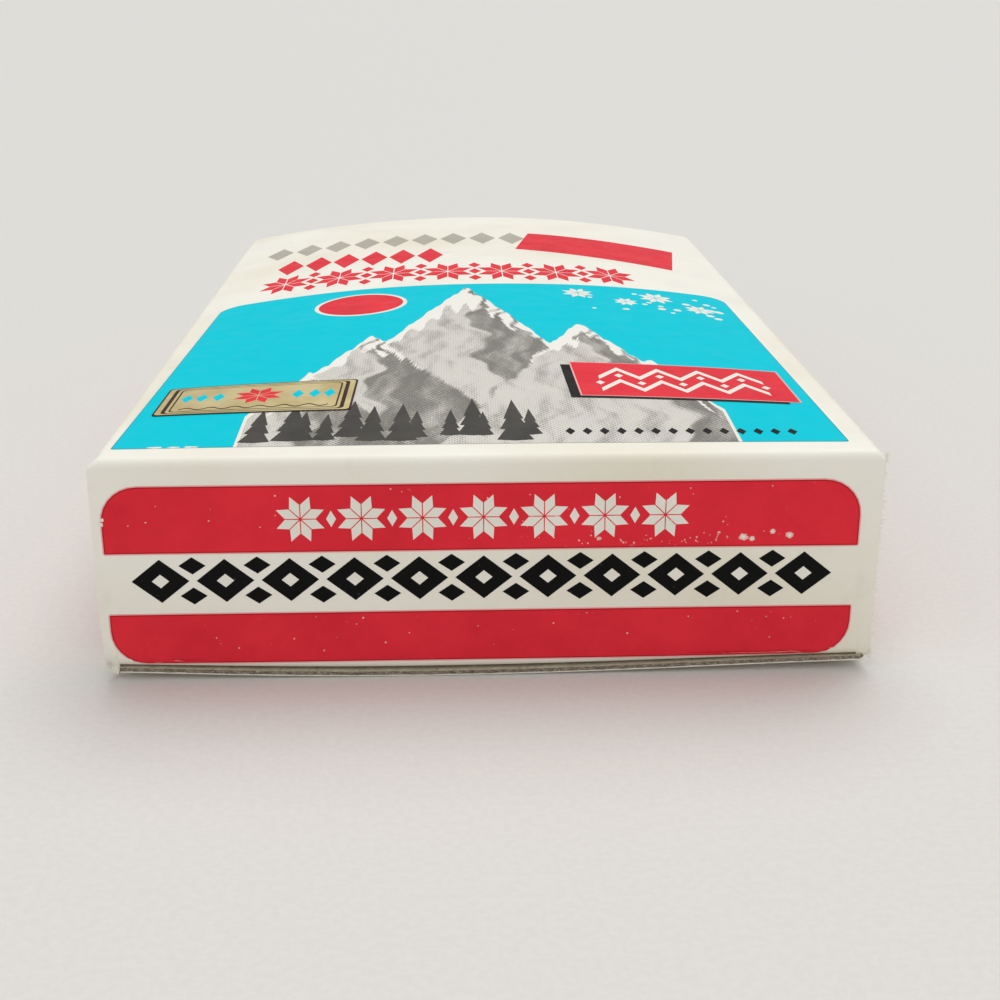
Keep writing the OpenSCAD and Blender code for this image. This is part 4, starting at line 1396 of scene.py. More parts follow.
@dataclass
class TornFibres:
    """Paper fibres that stand out where the board was cut or has rubbed: thin bent tapered hairs."""

    carton: Carton
    radius: float = 0.022
    rings: int = 5

    def tuft(self, name: str, roots: Array, out: Array, lengths: Array, seed: int,
             body: str) -> Piece:
        """Makes one tuft of hairs along an edge.

        Hair point at share t is root + length * t * direction + length * t * t * bend, with a radius
        that falls to a tenth; three points go round each.

        Args:
            name: The piece's name.
            roots: Where the hairs start, (hairs, 3), in millimetres.
            out: Their mean direction.
            lengths: Their lengths.
            seed: Seed of their scatter.
            body: The body that they ride on.

        Returns:
            The tuft.
        """
        rng = np.random.default_rng(seed)
        count = len(roots)
        way = np.asarray(out, float) + rng.normal(0, 0.45, (count, 3))
        way /= np.linalg.norm(way, axis=1, keepdims=True)
        bend = rng.normal(0, 0.35, (count, 3))
        t = np.linspace(0, 1, self.rings)[:, None, None]
        spine = roots + lengths[:, None] * (t * way + t * t * bend)
        spine[..., 2] = np.maximum(spine[..., 2], 0.05)
        side = np.cross(way, (0.3, 0.5, 0.8))
        side /= np.linalg.norm(side, axis=1, keepdims=True)
        other = np.cross(way, side)
        turn = np.arange(3) * 2 * np.pi / 3
        radius = self.radius * (1 - 0.9 * t[..., None])
        ring = np.cos(turn)[:, None] * side[:, None] + np.sin(turn)[:, None] * other[:, None]
        points = spine[:, :, None] + radius * ring[None]
        number = np.arange(points[..., 0].size).reshape(points.shape[:3])
        after = np.roll(number, -1, axis=2)
        quads = np.stack([number[:-1], after[:-1], after[1:], number[1:]], -1).reshape(-1, 4)
        caps = np.concatenate([number[0][:, ::-1], number[-1]])
        made = make_object(name, points.reshape(-1, 3), [quads, caps], [FIBRE.material()])
        return settle(made, body, "raw_board")

    def build(self) -> None:
        """Makes the tufts: both upright edges of the near flap, its corners and the cut bottom edge."""
        box = self.carton
        rng = np.random.default_rng(21)

        def upright(count: int, side: float, low: float, high: float) -> Array:
            z = rng.uniform(low, high, count)
            x = np.full(count, side * (box.half_w - 0.03))
            return np.stack([x, -box.half_l + rng.uniform(0.1, 0.5, count), z], -1)

        def length(count: int, size: float) -> Array:
            return rng.uniform(0.25, 1.0, count) ** 1.5 * size

        flap = "front_flap"
        roots = upright(260, 1, 1.6, 21.4)
        self.tuft("fibres_right_edge", roots, (1, -0.25, 0.1), length(260, 0.75), 1, flap)
        roots = upright(120, -1, 1.4, 20.8)
        self.tuft("fibres_left_edge", roots, (-1, -0.2, 0), length(120, 0.4), 2, flap)
        corners = ((36, 1, 21.0, 21.7), (46, 1, 1.0, 2.4), (30, -1, 1.0, 2.0))
        roots = np.concatenate([upright(*corner) for corner in corners])
        out = np.sign(roots[:, :1]) * (1, 0, 0) + (0, -0.3, 0.1)
        self.tuft("fibres_corners", roots, out, length(len(roots), 0.95), 3, flap)
        x = rng.uniform(-34.5, 34.5, 300)
        y = np.full(300, -box.half_l + 0.12)
        roots = np.stack([x, y, box.curl(x, y) + rng.uniform(0.08, 0.5, 300)], -1)
        self.tuft("fibres_bottom_edge", roots, (0, -1, -0.1), length(300, 0.45), 4, "carton")


# ---------- stage ----------


@dataclass
class Stage:
    """Pale floor, soft lights and the camera at the photograph's angle."""

    focal_px: float = 1470.8
    frame_px: float = 1000.0
    sensor: float = 36.0
    eye: Triple = (-3.32, -183.95, 62.76)
    pitch: float = 19.673
    yaw: float = 1.872
    roll: float = -0.05
    floor_color: str = "#DDDBD7"
    floor_grain: str = "#B9B6B0"
    floor_size: float = 9000.0

    def camera(self) -> None:
        """Places the camera: forward from yaw and pitch, and up from their cross product."""
        pitch, yaw, roll = np.radians([self.pitch, self.yaw, self.roll])
        ahead = np.array([np.sin(yaw) * np.cos(pitch), np.cos(yaw) * np.cos(pitch), -np.sin(pitch)])
        right = np.array([np.cos(yaw), -np.sin(yaw), 0])
        up = np.cross(right, ahead)
        right, up = right * np.cos(roll) + up * np.sin(roll), up * np.cos(roll) - right * np.sin(roll)
        data = bpy.data.cameras.new("camera")
        data.sensor_width = self.sensor
        data.lens = self.focal_px / self.frame_px * self.sensor
        data.clip_start = 0.005
        data.clip_end = 50
        made = bpy.data.objects.new("camera", data)
        turn = Matrix(np.stack([right, up, -ahead], 1).tolist()).to_4x4()
        made.matrix_world = Matrix.Translation(Vector(self.eye) * MM) @ turn
        bpy.context.scene.collection.objects.link(made)
        bpy.context.scene.camera = made

    def floor(self) -> None:
        """Lays a wide sheet of pale, matt board."""
        finish = bpy.data.materials.new("pale_floor")
        net = Net(finish)
        grain = net.pattern(net.place(), 0.7, 4, 0.6, (0.4, 0.6), (0, 0.1))
        net.coat({"Base Color": net.paint(self.floor_color, (grain, self.floor_grain)), "Roughness": 0.75,
                  "Specular IOR Level": 0.25})
        edge = self.floor_size
        corners = np.array([(-edge, -edge, 0), (edge, -edge, 0), (edge, edge, 0), (-edge, edge, 0)])
        made = make_object("floor", corners, [np.array([[0, 1, 2, 3]])], [finish])
        made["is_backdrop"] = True

    def lamp(self, name: str, toward: Triple, soft: float, strength: float) -> None:
        """One far, wide lamp that lights the floor evenly.

        Args:
            name: The lamp's name.
            toward: Direction from the object to the lamp.
            soft: Angle that the lamp fills, in degrees.
            strength: Its light, in watts per square metre.
        """
        data = bpy.data.lights.new(name, "SUN")
        data.angle = np.radians(soft)
        data.energy = strength
        made = bpy.data.objects.new(name, data)
        made.rotation_euler = Vector(toward).to_track_quat("Z", "Y").to_euler()
        bpy.context.scene.collection.objects.link(made)

    def light(self) -> None:
        """Sets a pale even world and two soft lamps, the stronger one above and a little behind."""
        world = bpy.data.worlds.new("pale_world")
        bpy.context.scene.world = world
        world.use_nodes = True
        background = next(n for n in world.node_tree.nodes if n.type == "BACKGROUND")
        background.inputs["Color"].default_value = linear("#EDEDEC")
        background.inputs["Strength"].default_value = 0.52
        self.lamp("overhead_softbox", (0.15, 0.45, 1.0), 50, 1.55)
        self.lamp("front_fill", (-0.4, -1.0, 1.0), 70, 0.7)

    def build(self) -> None:
        """Makes the stage and sets the plain view transform."""
        self.camera()
        self.floor()
        self.light()
        bpy.context.scene.view_settings.view_transform = "Standard"


# ---------- contents ----------


class Metals(Enum):
    """Metal finishes inside the carton."""

    BRUSHED = Metal("brushed_steel_tank", "#B9BBBE", 0.3, (0.04, 1, 1), 0.14, 0.004, 0.4)
    BRIGHT = Metal("bright_plated_steel", "#D3D5D7", 0.14, (1, 0.06, 1), 0.3, 0.002, 0.1)
    BRASS = Metal("satin_brass", "#C2A765", 0.3, (0.06, 1, 1), 0.2)
    PALE = Metal("tinned_steel_clips", "#E3E0D6", 0.42, (1, 0.2, 1), 0.3)
    WIRE = Metal("oxidised_wire_mesh", "#6C665C", 0.5, (1, 1, 1), 0.4)
    FLINT = Metal("sparking_rod", "#48484C", 0.6, (0.3, 1, 0.3), 0.2)


class Softs(Enum):
    """Soft finishes inside the carton."""

    COTTON = Fibres("cotton_wadding", "#F1EEE4", pitch=0.5, tint="#DCD6C8", depth=0.15)
    FELT = Fibres("wool_felt", "#D8D0BC", pitch=0.3, tint="#B9AF98")
    GASKET = Fibres("red_vulcanised_fibre", "#8A2A1E", pitch=0.25, tint="#5A1810", sheen=0.0, depth=0.02)
    CATALYST = Fibres("platinised_fibre_mat", "#A8412C", pitch=0.5, tint="#6E2A1E", weave=True)
    FLANNEL = Fibres("wine_red_flannel", "#7B1D26", pitch=0.45, tint="#A2424A", sheen=0.5, weave=True)
    HEM = Fibres("wine_red_hem", "#6F1820", pitch=0.45, tint="#93343D", sheen=0.5, weave=True)


class Plastics(Enum):
    """Plastic and paper finishes inside the carton."""

    MILKY = Moulded("milky_polyethylene", "#E9E8E2", 0.38, 0.5, 0.25)
    RED = Moulded("red_polystyrene", "#B4232A", 0.22)
    PAPER = CoatedBoard("thin_leaflet_paper", "#F3F0E8", 0.7)


THREAD = Fibres("pale_red_sewing_thread", "#B9656B", pitch=0.15, tint="#DDA5A6", sheen=0.2, depth=0.01)


def poled(name: str, rings: Array, ends: Array, way: int, finish: Finish,
          crease: float = 35.0) -> Piece:
    """Closed solid of rings, each joined to the next, whose first and last close on a point.

    Args:
        name: The piece's name.
        rings: Points in millimetres, (rows, points round, 3).
        ends: The two points.
        way: 1 or -1, whichever turns the faces outwards.
        finish: The piece's finish.
        crease: Angle in degrees above which an edge is sharp.

    Returns:
        The piece.
    """
    rows, around = rings.shape[:2]
    first = np.arange(around)
    last = first + (rows - 1) * around
    count = rows * around
    caps = np.concatenate([
        np.stack([np.full(around, count), np.roll(first, -1), first], -1),
        np.stack([np.full(around, count + 1), last, np.roll(last, -1)], -1)])
    quads = grid_faces(rows, around, True)[:, ::way]
    points = np.concatenate([rings.reshape(-1, 3), ends])
    return make_object(name, points, [quads, caps[:, ::way]], [finish.material()], crease=crease)


def turned(name: str, x: Array, r: Array, centre: Pair, finish: Finish,
           swell: Callable[[Array, Array], Array] | None = None,
           around: int = 96) -> Piece:
    """Closed solid turned about a line along X: ring k has radius r[k] at x[k], with a point at each end.

    Args:
        name: The piece's name.
        x: Places along the line, in millimetres.
        r: Radii there. The first and last are taken as 0.
        centre: The line's y and z.
        finish: The piece's finish.
        swell: Gives what is added to the radius at (x, angle).
        around: Points round each ring.

    Returns:
        The piece.
    """
    angle = np.linspace(0, 2 * np.pi, around, endpoint=False)
    inner_x, inner_r = np.meshgrid(x[1:-1], angle, indexing="ij")[0], r[1:-1, None] + 0 * angle
    if swell:
        inner_r = inner_r + swell(inner_x, np.broadcast_to(angle, inner_x.shape))
    y = centre[0] + inner_r * np.cos(angle)
    z = centre[1] + inner_r * np.sin(angle)
    rings = np.stack([inner_x, y, z], -1)
    ends = np.array([(x[0], *centre), (x[-1], *centre)])
    return poled(name, rings, ends, 1 if x[-1] > x[0] else -1, finish)


def pillow(name: str, low: Array, high: Array, finish: Finish, square: float = 0.25,
           lumps: float = 0.15, lump_size: float = 3.0) -> Piece:
    """Soft block between two corners, with the shape of a superellipsoid roughened by slow waves.

    Section angles a and b give x = cos a ^ square * cos b ^ square, y = sin a ^ square and
    z = cos a ^ square * sin b ^ square, stretched to the box. The waves pull points in, never out.

    Args:
        name: The piece's name.
        low: Lowest corner, in millimetres.
        high: Highest corner.
        finish: The piece's finish.
        square: Power of the sines: 1 is an ellipsoid, near 0 a box.
        lumps: Depth of the waves, in millimetres.
        lump_size: Their length.

    Returns:
        The piece.
    """
    rows, cols = 46, 96
    a = np.linspace(-np.pi / 2, np.pi / 2, rows + 2)[:, None]
    b = np.linspace(0, 2 * np.pi, cols, endpoint=False)[None]

    def power(value: Array) -> Array:
        return np.sign(value) * np.abs(value) ** square

    half, middle = (high - low) / 2, (high + low) / 2
    unit = np.stack([power(np.cos(a)) * power(np.cos(b)), power(np.sin(a)) + 0 * b,
                     power(np.cos(a)) * power(np.sin(b))], -1)
    points = unit * half
    wave = points * 2 * np.pi / lump_size
    across, along, up = np.moveaxis(wave, -1, 0)
    bumps = np.sin(across + np.sin(along)) * np.sin(along * 0.9 + 1) * np.cos(up * 0.8)
    inward = lumps * (0.5 + 0.5 * bumps)[..., None] / np.maximum(np.abs(half), 1e-6) * (np.abs(unit) > 0.6)
    points = points * (1 - inward) + middle
    return poled(name, points[1:-1], points[[0, -1], 0], -1, finish, 180)


@dataclass
class Pouch:
    """The folded cloth pouch: a flat sewn bag with a turned hem at its mouth and topstitched seams."""

    cloth: float = 0.6
    seam_t: float = 0.72
    stitch: float = 1.5
    pitch: float = 2.3
    thread: float = 0.2
    seam_x: float = 25.6
    turned_in: float = 1.0

    def __post_init__(self) -> None:
        """Takes the pouch's place from the frame."""
        self.low, self.high = node_box("pouch_body")
        self.hem_low, self.hem_high = node_box("pouch_hem")
        self.z = (self.low[2] + self.high[2]) / 2
        self.half_t = (self.high[2] - self.low[2]) / 2

    def rise(self, x: Array, y: Array) -> Array:
        """Half the bag's height at a place: full in the middle, thin at the seams, with slack folds."""
        v = np.clip((y - self.low[1]) / (self.high[1] - self.low[1]), 0, 1)
        u = np.clip(np.abs(x) / self.high[0], 0, 1)
        crown = (1 - u ** 5) * (1 - v ** 7)
        slack = 0.12 * np.sin(y / 4.1 + 0.7 * np.sin(x / 6.0)) + 0.09 * np.sin(x / 5.2 - y / 11) + \
            0.07 * np.sin((x + y) / 3.1)
        return self.seam_t + (self.half_t - self.seam_t - 0.14 + slack * 0.6) * crown

    def loop(self, y: Array, inset: float, half: float) -> Array:
        """Rings round the bag: out along the bottom and back along the top, inset from the face."""
        turn = np.linspace(-np.pi / 2, np.pi / 2, 41)
        x = (half - inset) * np.sin(turn)
        x, y = np.broadcast_arrays(x, y[:, None])
        edge = np.abs(np.cos(turn)) ** 0.5
        inset = inset * (1 + 0.3 * ramp(self.high[1] - 3, self.high[1], y))
        h = np.maximum(self.rise(x, y) - inset, 0.03) * edge
        under = np.stack([x, y, self.z - h], -1)[:, :-1]
        over = np.stack([x, y, self.z + h], -1)[:, ::-1][:, :-1]
        return np.concatenate([under, over], 1)

    def stitches(self, name: str, starts: Array, way: Pair) -> Piece:
        """A row of thread stitches on the bag's upper face.

        Each is a small dome of four-sided rings: point at share t has radius thread * sin(pi t) ^ 0.5.

        Args:
            name: The piece's name.
            starts: Where the stitches start, (stitches, 2).
            way: Direction of the row.

        Returns:
            The row.
        """
        t = np.linspace(0.03, 0.97, 7)
        along = starts[:, None] + t[None, :, None] * self.stitch * np.array(way)
        x, y = along[..., 0], along[..., 1]
        z = self.z + self.rise(x, y) * np.sqrt(np.sqrt(np.maximum(1 - (x / self.high[0]) ** 2, 0)))
        radius = self.thread * np.sqrt(np.sin(np.pi * t))
        turn = (np.arange(6) + 0.5) * np.pi / 3
        across = np.array([-way[1], way[0], 0.0])
        ring = np.cos(turn)[:, None] * across + np.sin(turn)[:, None] * np.array([0, 0, 0.7])
        spine = np.stack([x, y, z], -1)
        points = spine[:, :, None] + radius[None, :, None, None] * ring
        number = np.arange(points[..., 0].size).reshape(points.shape[:3])
        after = np.roll(number, -1, axis=2)
        quads = np.stack([number[:, :-1], number[:, 1:], after[:, 1:], after[:, :-1]], -1).reshape(-1, 4)
        caps = [number[:, 0].reshape(-1, 6), number[:, -1, ::-1].reshape(-1, 6)]
        made = make_object(name, points.reshape(-1, 3), [quads, *caps], [THREAD.material()])
        return settle(made, "pouch", "flannel_hem")

    def build(self) -> None:
        y0, y1 = self.low[1], self.high[1]
        share = np.linspace(0, 1, 60)
        y = y0 - self.turned_in + (y1 - y0 + self.turned_in) * share ** 0.8
        outer = self.loop(y, 0.0, self.high[0])
        inner = self.loop(np.minimum(y, y1 - 0.02), self.cloth, self.high[0])
        bag = shell("pouch_bag", outer, inner, [Softs.FLANNEL.value.material()], wrap=True, crease=60)
        settle(bag, "pouch", "flannel", "pouch_body")
        h0, h1 = self.hem_low[1], self.hem_high[1]
        y = h0 + (h1 - h0) * np.linspace(0, 1, 22)
        mouth = 0.28 * (1 - np.clip((y - h0) / 0.6, 0, 1)) ** 2 + 0.2 * np.clip((y - h1 + 0.4) / 0.4, 0, 1)
        outer = self.loop(y, 0.0, self.hem_high[0])
        inner = self.loop(y, 1.05, self.hem_high[0])
        thick = (self.hem_high[2] - self.hem_low[2]) / 2
        for grid, push in ((outer, -mouth), (inner, mouth)):
            swell = (thick - 0.02) / self.half_t if grid is outer else 1.0
            grid[..., 2] = self.z + (grid[..., 2] - self.z) * swell
            grid[..., 2] += np.sign(grid[..., 2] - self.z) * push[:, None]
        hem = shell("pouch_hem_band", outer, inner, [Softs.HEM.value.material()], wrap=True, crease=60)
        settle(hem, "pouch", "flannel_hem", "pouch_hem")
        y = np.arange(y0 + 0.8, y1 - 3.2, self.pitch)
        for side in Side:
            starts = np.stack([np.full_like(y, side.value * self.seam_x), y], -1)
            self.stitches(f"pouch_side_stitches_{side.name.lower()}", starts, (0.0, 1.0))
        x = np.arange(-24.8, 23.6, self.pitch)
        starts = np.stack([x, np.full_like(x, y1 - 2.4)], -1)
        self.stitches("pouch_end_stitches", starts, (1.0, 0.0))


@dataclass
class Leaflet:
    """The paper leaflet, folded to and fro in four."""

    paper: float = 0.11
    layers: int = 4

    def build(self) -> None:
        """Makes the folded sheet: straight runs along Y joined by half circles at their ends."""
        low, high = node_box("leaflet")
        gap = (high[2] - low[2] - self.paper) / (self.layers - 1)
        run = np.linspace(low[1] + gap, high[1] - gap, 26)
        turn = np.linspace(0, np.pi, 9)[1:-1]
        path = []
        for k in range(self.layers):
            z = low[2] + self.paper / 2 + k * gap
            forth = k % 2 == 0
            y = run if forth else run[::-1]
            path.append(np.stack([y, np.full_like(y, z)], -1))
            if k < self.layers - 1:
                out = 1 if forth else -1
                end = run[-1] if forth else run[0]
                bend = [end + out * gap / 2 * np.sin(turn), z + gap / 2 * (1 - np.cos(turn))]
                path.append(np.stack(bend, -1))
        line = np.concatenate(path)
        step = np.gradient(line, axis=0)
        step /= np.linalg.norm(step, axis=1, keepdims=True)
        normal = np.stack([-step[:, 1], step[:, 0]], -1)
        x = np.linspace(low[0], high[0], 16)
        grids = []
        for side in (1, -1):
            edge = line + side * normal * self.paper / 2
            yz = np.broadcast_to(edge[:, None], (len(line), 16, 2))
            grids.append(np.concatenate([np.broadcast_to(x[None, :, None], (len(line), 16, 1)), yz], -1))
        made = shell("folded_leaflet", *grids, [Plastics.PAPER.value.material()])
        point_values(made, "wear", np.zeros(len(made.data.vertices)))
        settle(made, "leaflet", "leaflet_paper", "leaflet")
        middle = (low + high) / 2

        def face(x: Array, y: Array, lift: float) -> Array:
            return np.stack([x, y, np.full_like(x, high[2] - 0.004 + lift)], -1)

        for name, shapes, finish in (
            ("leaflet_band", rounded(low[0] + 3, high[0] - 3, high[1] - 9, high[1] - 5, (0.1,) * 4), RED_INK),
            ("leaflet_star", Print.snow_stars(middle[None, :2] + (0, 1.5), 9, 9), RED_INK),
            ("leaflet_lozenges", Print.lozenges(Print.row(9, -14, 14, low[1] + 6.5), 2.4, 3.2), BLACK_INK),
        ):
            shapes = np.asarray(shapes)
            shapes = shapes[None] if shapes.ndim == 2 else shapes
            settle(fans(name, shapes, face, 0.0, [finish.material()], 1, 0.006), "leaflet", "leaflet_paper")


@dataclass
class Filler:
    """The filler: a blown bottle with a parting line and fill rings, under a ribbed screw cap."""

    ribs: int = 30
    rib_depth: float = 0.2
    line: float = 0.05
    drawn_bottle_r: float = 4.95
    drawn_cap: Pair = (9.0, 4.5)

    def build(self) -> None:
        """Turns the bottle and its cap about their line."""
        low, high = node_box("filler_bottle")
        cap_low, cap_high = node_box("filler_cap")
        centre = ((low[1] + high[1]) / 2, (low[2] + high[2]) / 2)
        radius = (high[1] - low[1]) / 2 - self.line
        x0, x1, cap_end = low[0], cap_low[0], cap_high[0]
        profile = np.array([(0.7, 0.0), (0.65, 1.4), (0.35, 2.6), (0.05, 3.4), (0.0, 3.8), (0.12, 4.2),
                            (0.5, 4.6), (1.1, 4.86), (1.9, self.drawn_bottle_r)])
        long = x1 - x0
        body = np.linspace(2.4, long - 5.6, 60)
        shoulder = np.array([(-4.8, 4.93), (-3.9, 4.85), (-3.0, 4.62), (-2.2, 4.25), (-1.5, 3.75),
                             (-1.0, 3.35), (-0.6, 3.2), (3.0, 3.2), (3.0, 0.0)]) + (long, 0)
        x = np.concatenate([profile[:, 0], body, shoulder[:, 0]])
        r = np.concatenate([profile[:, 1], np.full(60, self.drawn_bottle_r), shoulder[:, 1]])
        r = r * radius / self.drawn_bottle_r

        def parting(at: Array, angle: Array) -> Array:
            off = np.minimum(np.abs(angle - np.pi / 2), np.abs(angle - 3 * np.pi / 2))
            wide = ramp(0.3, 1.6, at - x0) * ramp(long - 0.8, long - 3, at - x0)
            rings = sum(np.exp(-((at - x0 - place) / 0.22) ** 2) for place in (8.0, 12.0, 16.0))
            return self.line * wide * (np.exp(-(off / 0.035) ** 2) - 1.1 * rings)

        bottle = turned("filler_flask", x0 + x, r, centre, Plastics.MILKY.value, parting, 128)
        settle(bottle, "filler", "milky_plastic", "filler_bottle")
        wide = (cap_high[1] - cap_low[1]) / 2
        long = cap_end - x1
        profile = np.array([(0.02, 0.0), (0.02, 3.0), (0.02, 4.1), (0.12, 4.35), (0.4, 4.5), (1.0, 4.5),
                            (1.3, 4.5), (5.4, 4.5), (5.7, 4.46), (6.0, 4.36), (6.35, 4.05), (6.6, 3.6),
                            (7.4, 2.75), (8.1, 2.1), (8.6, 1.75), (8.85, 1.5), (8.97, 1.1), (9.0, 0.6),
                            (9.0, 0.0)])
        at, known = np.linspace(0, 1, 90), np.linspace(0, 1, len(profile))
        x = np.interp(at, known, profile[:, 0]) * long / self.drawn_cap[0]
        r = np.interp(at, known, profile[:, 1]) * wide / self.drawn_cap[1]

        def ribbing(at: Array, angle: Array) -> Array:
            skirt = ramp(0.9, 1.3, at - x1) * ramp(5.8, 5.4, at - x1)
            return -self.rib_depth * skirt * (0.5 + 0.5 * np.cos(self.ribs * angle)) ** 2

        cap = turned("filler_screw_cap", x1 + x, r, centre, Plastics.RED.value, ribbing, 240)
        settle(cap, "filler", "red_plastic", "filler_cap")


@dataclass
class Warmer:
    """The warmer's soft pieces and its pull ring, in the places that the frame gives them."""

    ring_points: int = 64

    def stuffing(self) -> None:
        """The wadding and felt in the tank, the wick in the striker and the mat in the burner."""
        for name, node, body, finish, slot, square, lumps, size in (
            ("packed_wadding", "cotton_wadding", "warmer", Softs.COTTON, "cotton", 0.35, 0.7, 6.0),
            ("fuel_felt", "felt_pad", "warmer", Softs.FELT, "felt", 0.2, 0.08, 2.5),
            ("platinised_mat", "catalyst_pad", "burner", Softs.CATALYST, "catalyst", 0.22, 0.3, 2.2),
            ("striker_wadding", "striker_wick", "striker", Softs.COTTON, "cotton", 0.5, 0.06, 1.0),
        ):
            made = pillow(name, *node_box(node), finish.value, square, lumps, size)
            settle(made, body, slot, node)

    def pull_ring(self) -> None:
        """The striker's ring: a circle of wire carried round a circle, closed both ways."""
        low, high = node_box("striker_ring")
        middle = (low + high) / 2
        wire = (high[0] - low[0]) / 2
        radius = (high[1] - low[1]) / 2 - wire
        round_it = np.linspace(0, 2 * np.pi, self.ring_points, endpoint=False)[:, None]
        turn = np.linspace(0, 2 * np.pi, 16, endpoint=False)[None]
        out = radius + wire * np.cos(turn)
        points = middle + np.stack([wire * np.sin(turn) + 0 * round_it, out * np.cos(round_it),
                                    out * np.sin(round_it)], -1)
        number = np.arange(self.ring_points * 16).reshape(self.ring_points, 16)
        down, side = np.roll(number, -1, 0), np.roll(number, -1, 1)
        quads = np.stack([number, side, np.roll(down, -1, 1), down], -1).reshape(-1, 4)
        made = make_object("pull_ring", points.reshape(-1, 3), [quads], [Metals.BRIGHT.value.material()])
        settle(made, "striker", "ring_wire", "striker_ring")

    def build(self) -> None:
        """Makes the soft pieces and the ring."""
        self.stuffing()
        self.pull_ring()


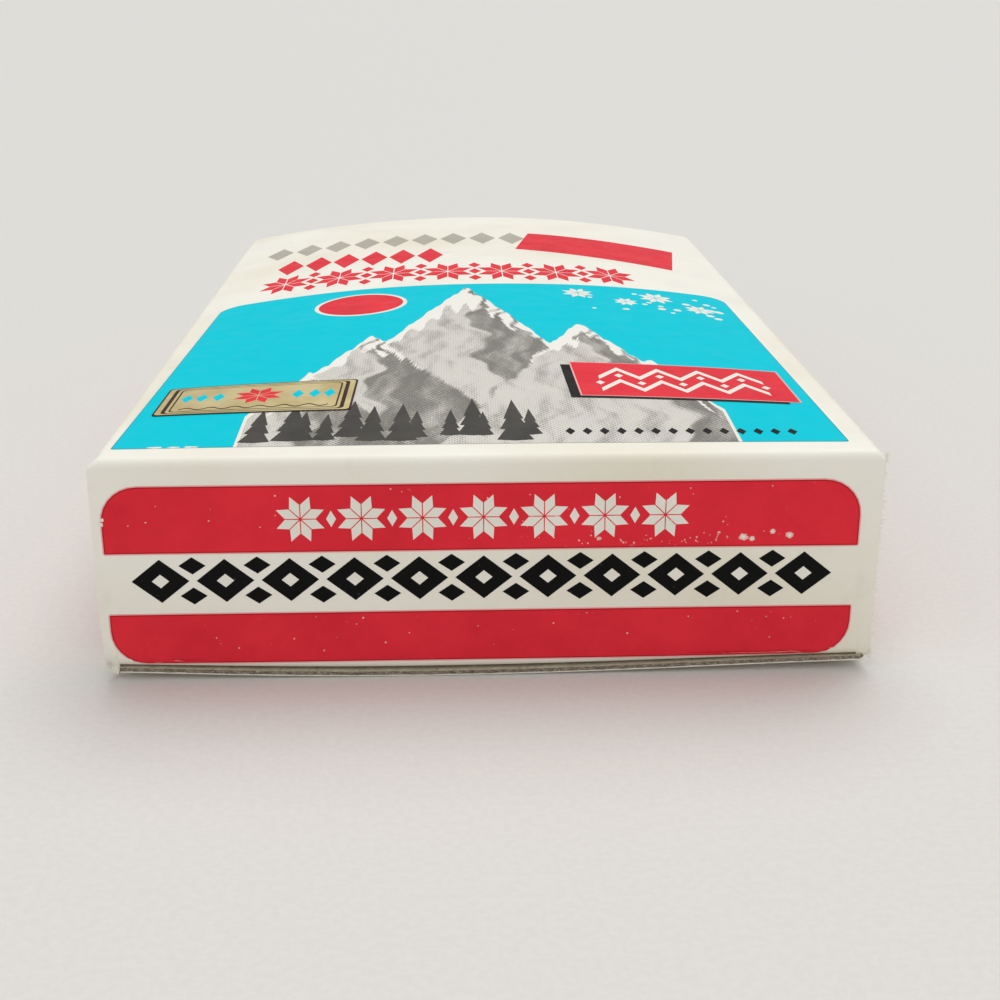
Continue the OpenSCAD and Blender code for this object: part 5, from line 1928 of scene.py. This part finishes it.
@dataclass
class Pressings:
    """The sheet metal as it leaves the press: each CAD piece again, with its edges rolled.

    The cap and the tank are drawn over a punch, so their closed ends get a wide radius. Cut edges and
    the rims of holes only lose their sharpness.
    """

    drawn_r: float = 1.25
    cut_r: float = 0.11
    drawn_angle: float = 4.0
    along: float = 0.985
    cut_angle: float = 32.0
    join: float = 0.002
    flat_angle: float = 0.6
    weld: float = 0.0005
    smooth_angle: float = 20.0

    def lead_with_flats(self, mesh: bpy.types.Mesh) -> None:
        """Gives flat faces that look along an axis their exact normal, and smooth neighbours the same.

        A face is flat along an axis if its corners share that coordinate. A corner of any other face
        takes a flat face's normal if they share the vertex and turn by less than the smooth angle.
        """
        def read(items: bpy.types.bpy_prop_collection, key: str, width: int, kind: type) -> Array:
            values = np.zeros(len(items) * width, kind)
            items.foreach_get(key, values)
            return values.reshape(-1, width) if width > 1 else values

        start = read(mesh.polygons, "loop_start", 1, np.int32)
        face = np.repeat(np.arange(len(start)), read(mesh.polygons, "loop_total", 1, np.int32))
        turned_to = read(mesh.polygons, "normal", 3, np.float32)
        vertex = read(mesh.loops, "vertex_index", 1, np.int32)
        corner = read(mesh.vertices, "co", 3, np.float32)[vertex]
        normals = read(mesh.corner_normals, "vector", 3, np.float32)
        flat = np.maximum.reduceat(corner, start) - np.minimum.reduceat(corner, start) < self.weld * MM
        least = np.cos(np.radians(self.smooth_angle))
        for axis in range(3):
            for way in (1, -1):
                on = (flat[:, axis] & (turned_to[:, axis] * way > 0))[face]
                touched = np.zeros(len(mesh.vertices), bool)
                touched[vertex[on]] = True
                lead = on | (touched[vertex] & (turned_to[face, axis] * way > least))
                normals[lead] = np.eye(3)[axis] * way
        mesh.normals_split_custom_set(normals.tolist())

    def roll(self, node: str, name: str, finish: Finish, body: str, slot: str,
             drawn: Callable[[Vector], bool] | None = None) -> None:
        """Makes one pressing.

        Args:
            node: The CAD node that it takes its shape from.
            name: The piece's name.
            finish: Its finish.
            body: The body that it rides on.
            slot: The record's material slot. Not used.
            drawn: Tells whether an edge's middle, in millimetres, is on a drawn end.
        """
        form = bmesh.new()
        form.from_mesh(frame["nodes"][node].data)
        bmesh.ops.remove_doubles(form, verts=form.verts, dist=self.join * MM)
        bmesh.ops.dissolve_limit(form, angle_limit=np.radians(self.flat_angle), verts=form.verts,
                                 edges=form.edges)

        def sharp(least: float, keep: Callable[[Vector], bool] | None) -> list[bmesh.types.BMEdge]:
            """Edges that turn by more than least degrees; on a drawn end, the convex ones on its curve."""
            found = [e for e in form.edges
                     if len(e.link_faces) == 2 and e.calc_face_angle(0.0) > np.radians(least)]
            if keep is None:
                return found
            ways = [(e.verts[1].co - e.verts[0].co).normalized() for e in found]
            return [e for e, way in zip(found, ways)
                    if e.is_convex and keep((e.verts[0].co + e.verts[1].co) / 2 / MM)
                    and max(abs(way.y), abs(way.z)) < self.along]

        passes = [(self.cut_angle, None, self.cut_r, 2)]
        if drawn:
            passes.insert(0, (self.drawn_angle, drawn, self.drawn_r, 7))
        for least, keep, radius, segments in passes:
            bmesh.ops.bevel(form, geom=sharp(least, keep), offset=radius * MM, segments=segments, profile=0.5,
                            affect="EDGES", clamp_overlap=True)
        bmesh.ops.remove_doubles(form, verts=form.verts, dist=self.weld * MM)
        bmesh.ops.dissolve_degenerate(form, dist=self.weld / 5 * MM, edges=form.edges)
        bmesh.ops.triangulate(form, faces=[f for f in form.faces if len(f.verts) > 4])
        mesh = bpy.data.meshes.new(name)
        form.to_mesh(mesh)
        form.free()
        mesh.materials.clear()
        mesh.materials.append(finish.material())
        mesh.polygons.foreach_set("material_index", np.zeros(len(mesh.polygons), np.int32))
        mesh.polygons.foreach_set("use_smooth", np.ones(len(mesh.polygons), bool))
        mesh.set_sharp_from_angle(angle=np.radians(self.smooth_angle))
        self.lead_with_flats(mesh)
        made = bpy.data.objects.new(name, mesh)
        bpy.context.scene.collection.objects.link(made)
        settle(made, body, slot, node)

    def build(self) -> None:
        """Rolls the edges of the cap, the tank and the burner's brass."""
        front, back = node_box("cap_shell")[0][1], node_box("tank_case")[1][1]
        self.roll("cap_shell", "cap_pressing", Metals.BRIGHT.value, "cap", "cap_steel",
                  lambda p: p.y < front + 10 and (p.y < front + 0.3 or abs(p.x) > 14))
        self.roll("tank_case", "tank_pressing", Metals.BRUSHED.value, "warmer", "tank_steel",
                  lambda p: p.y > back - 10)
        self.roll("burner_frame", "burner_pressing", Metals.BRASS.value, "burner", "burner_brass")


NODE_FINISHES = {
    Metals.BRIGHT: ("tank_band", "collar_plate", "striker_tube"),
    Metals.BRASS: ("striker_rod",),
    Metals.PALE: ("burner_lugs",),
    Metals.WIRE: ("burner_mesh",),
    Metals.FLINT: ("flint_strip",),
    Softs.GASKET: ("collar_gasket",),
}


def dress_nodes() -> None:
    """Gives every CAD node that stays in view its finish."""
    for choice, names in NODE_FINISHES.items():
        material = choice.value.material()
        for name in names:
            made = frame["nodes"][name]
            if not made.material_slots:
                made.data.materials.append(material)
            for slot in made.material_slots:
                slot.material = material


def main() -> None:
    """Builds the stage, the carton, its print and label, and dresses the contents."""
    logging.basicConfig(level=logging.INFO, format="%(message)s")
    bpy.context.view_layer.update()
    Stage().build()
    dress_nodes()
    Pressings().build()
    Warmer().build()
    Pouch().build()
    Leaflet().build()
    Filler().build()
    carton = Carton()
    carton.sleeve()
    carton.glue_seam()
    for end in End:
        carton.close_end(end)
    art = Print(carton)
    art.top_panel()
    for end in End:
        art.end_panel(end)
    for side in Side:
        art.side_panel(side)
    FoilLabel(carton).build()
    TornFibres(carton).build()
    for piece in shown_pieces():
        LOG.info("%s: %d faces", piece.name, len(piece.data.polygons))


if __name__ == "__main__":
    main()
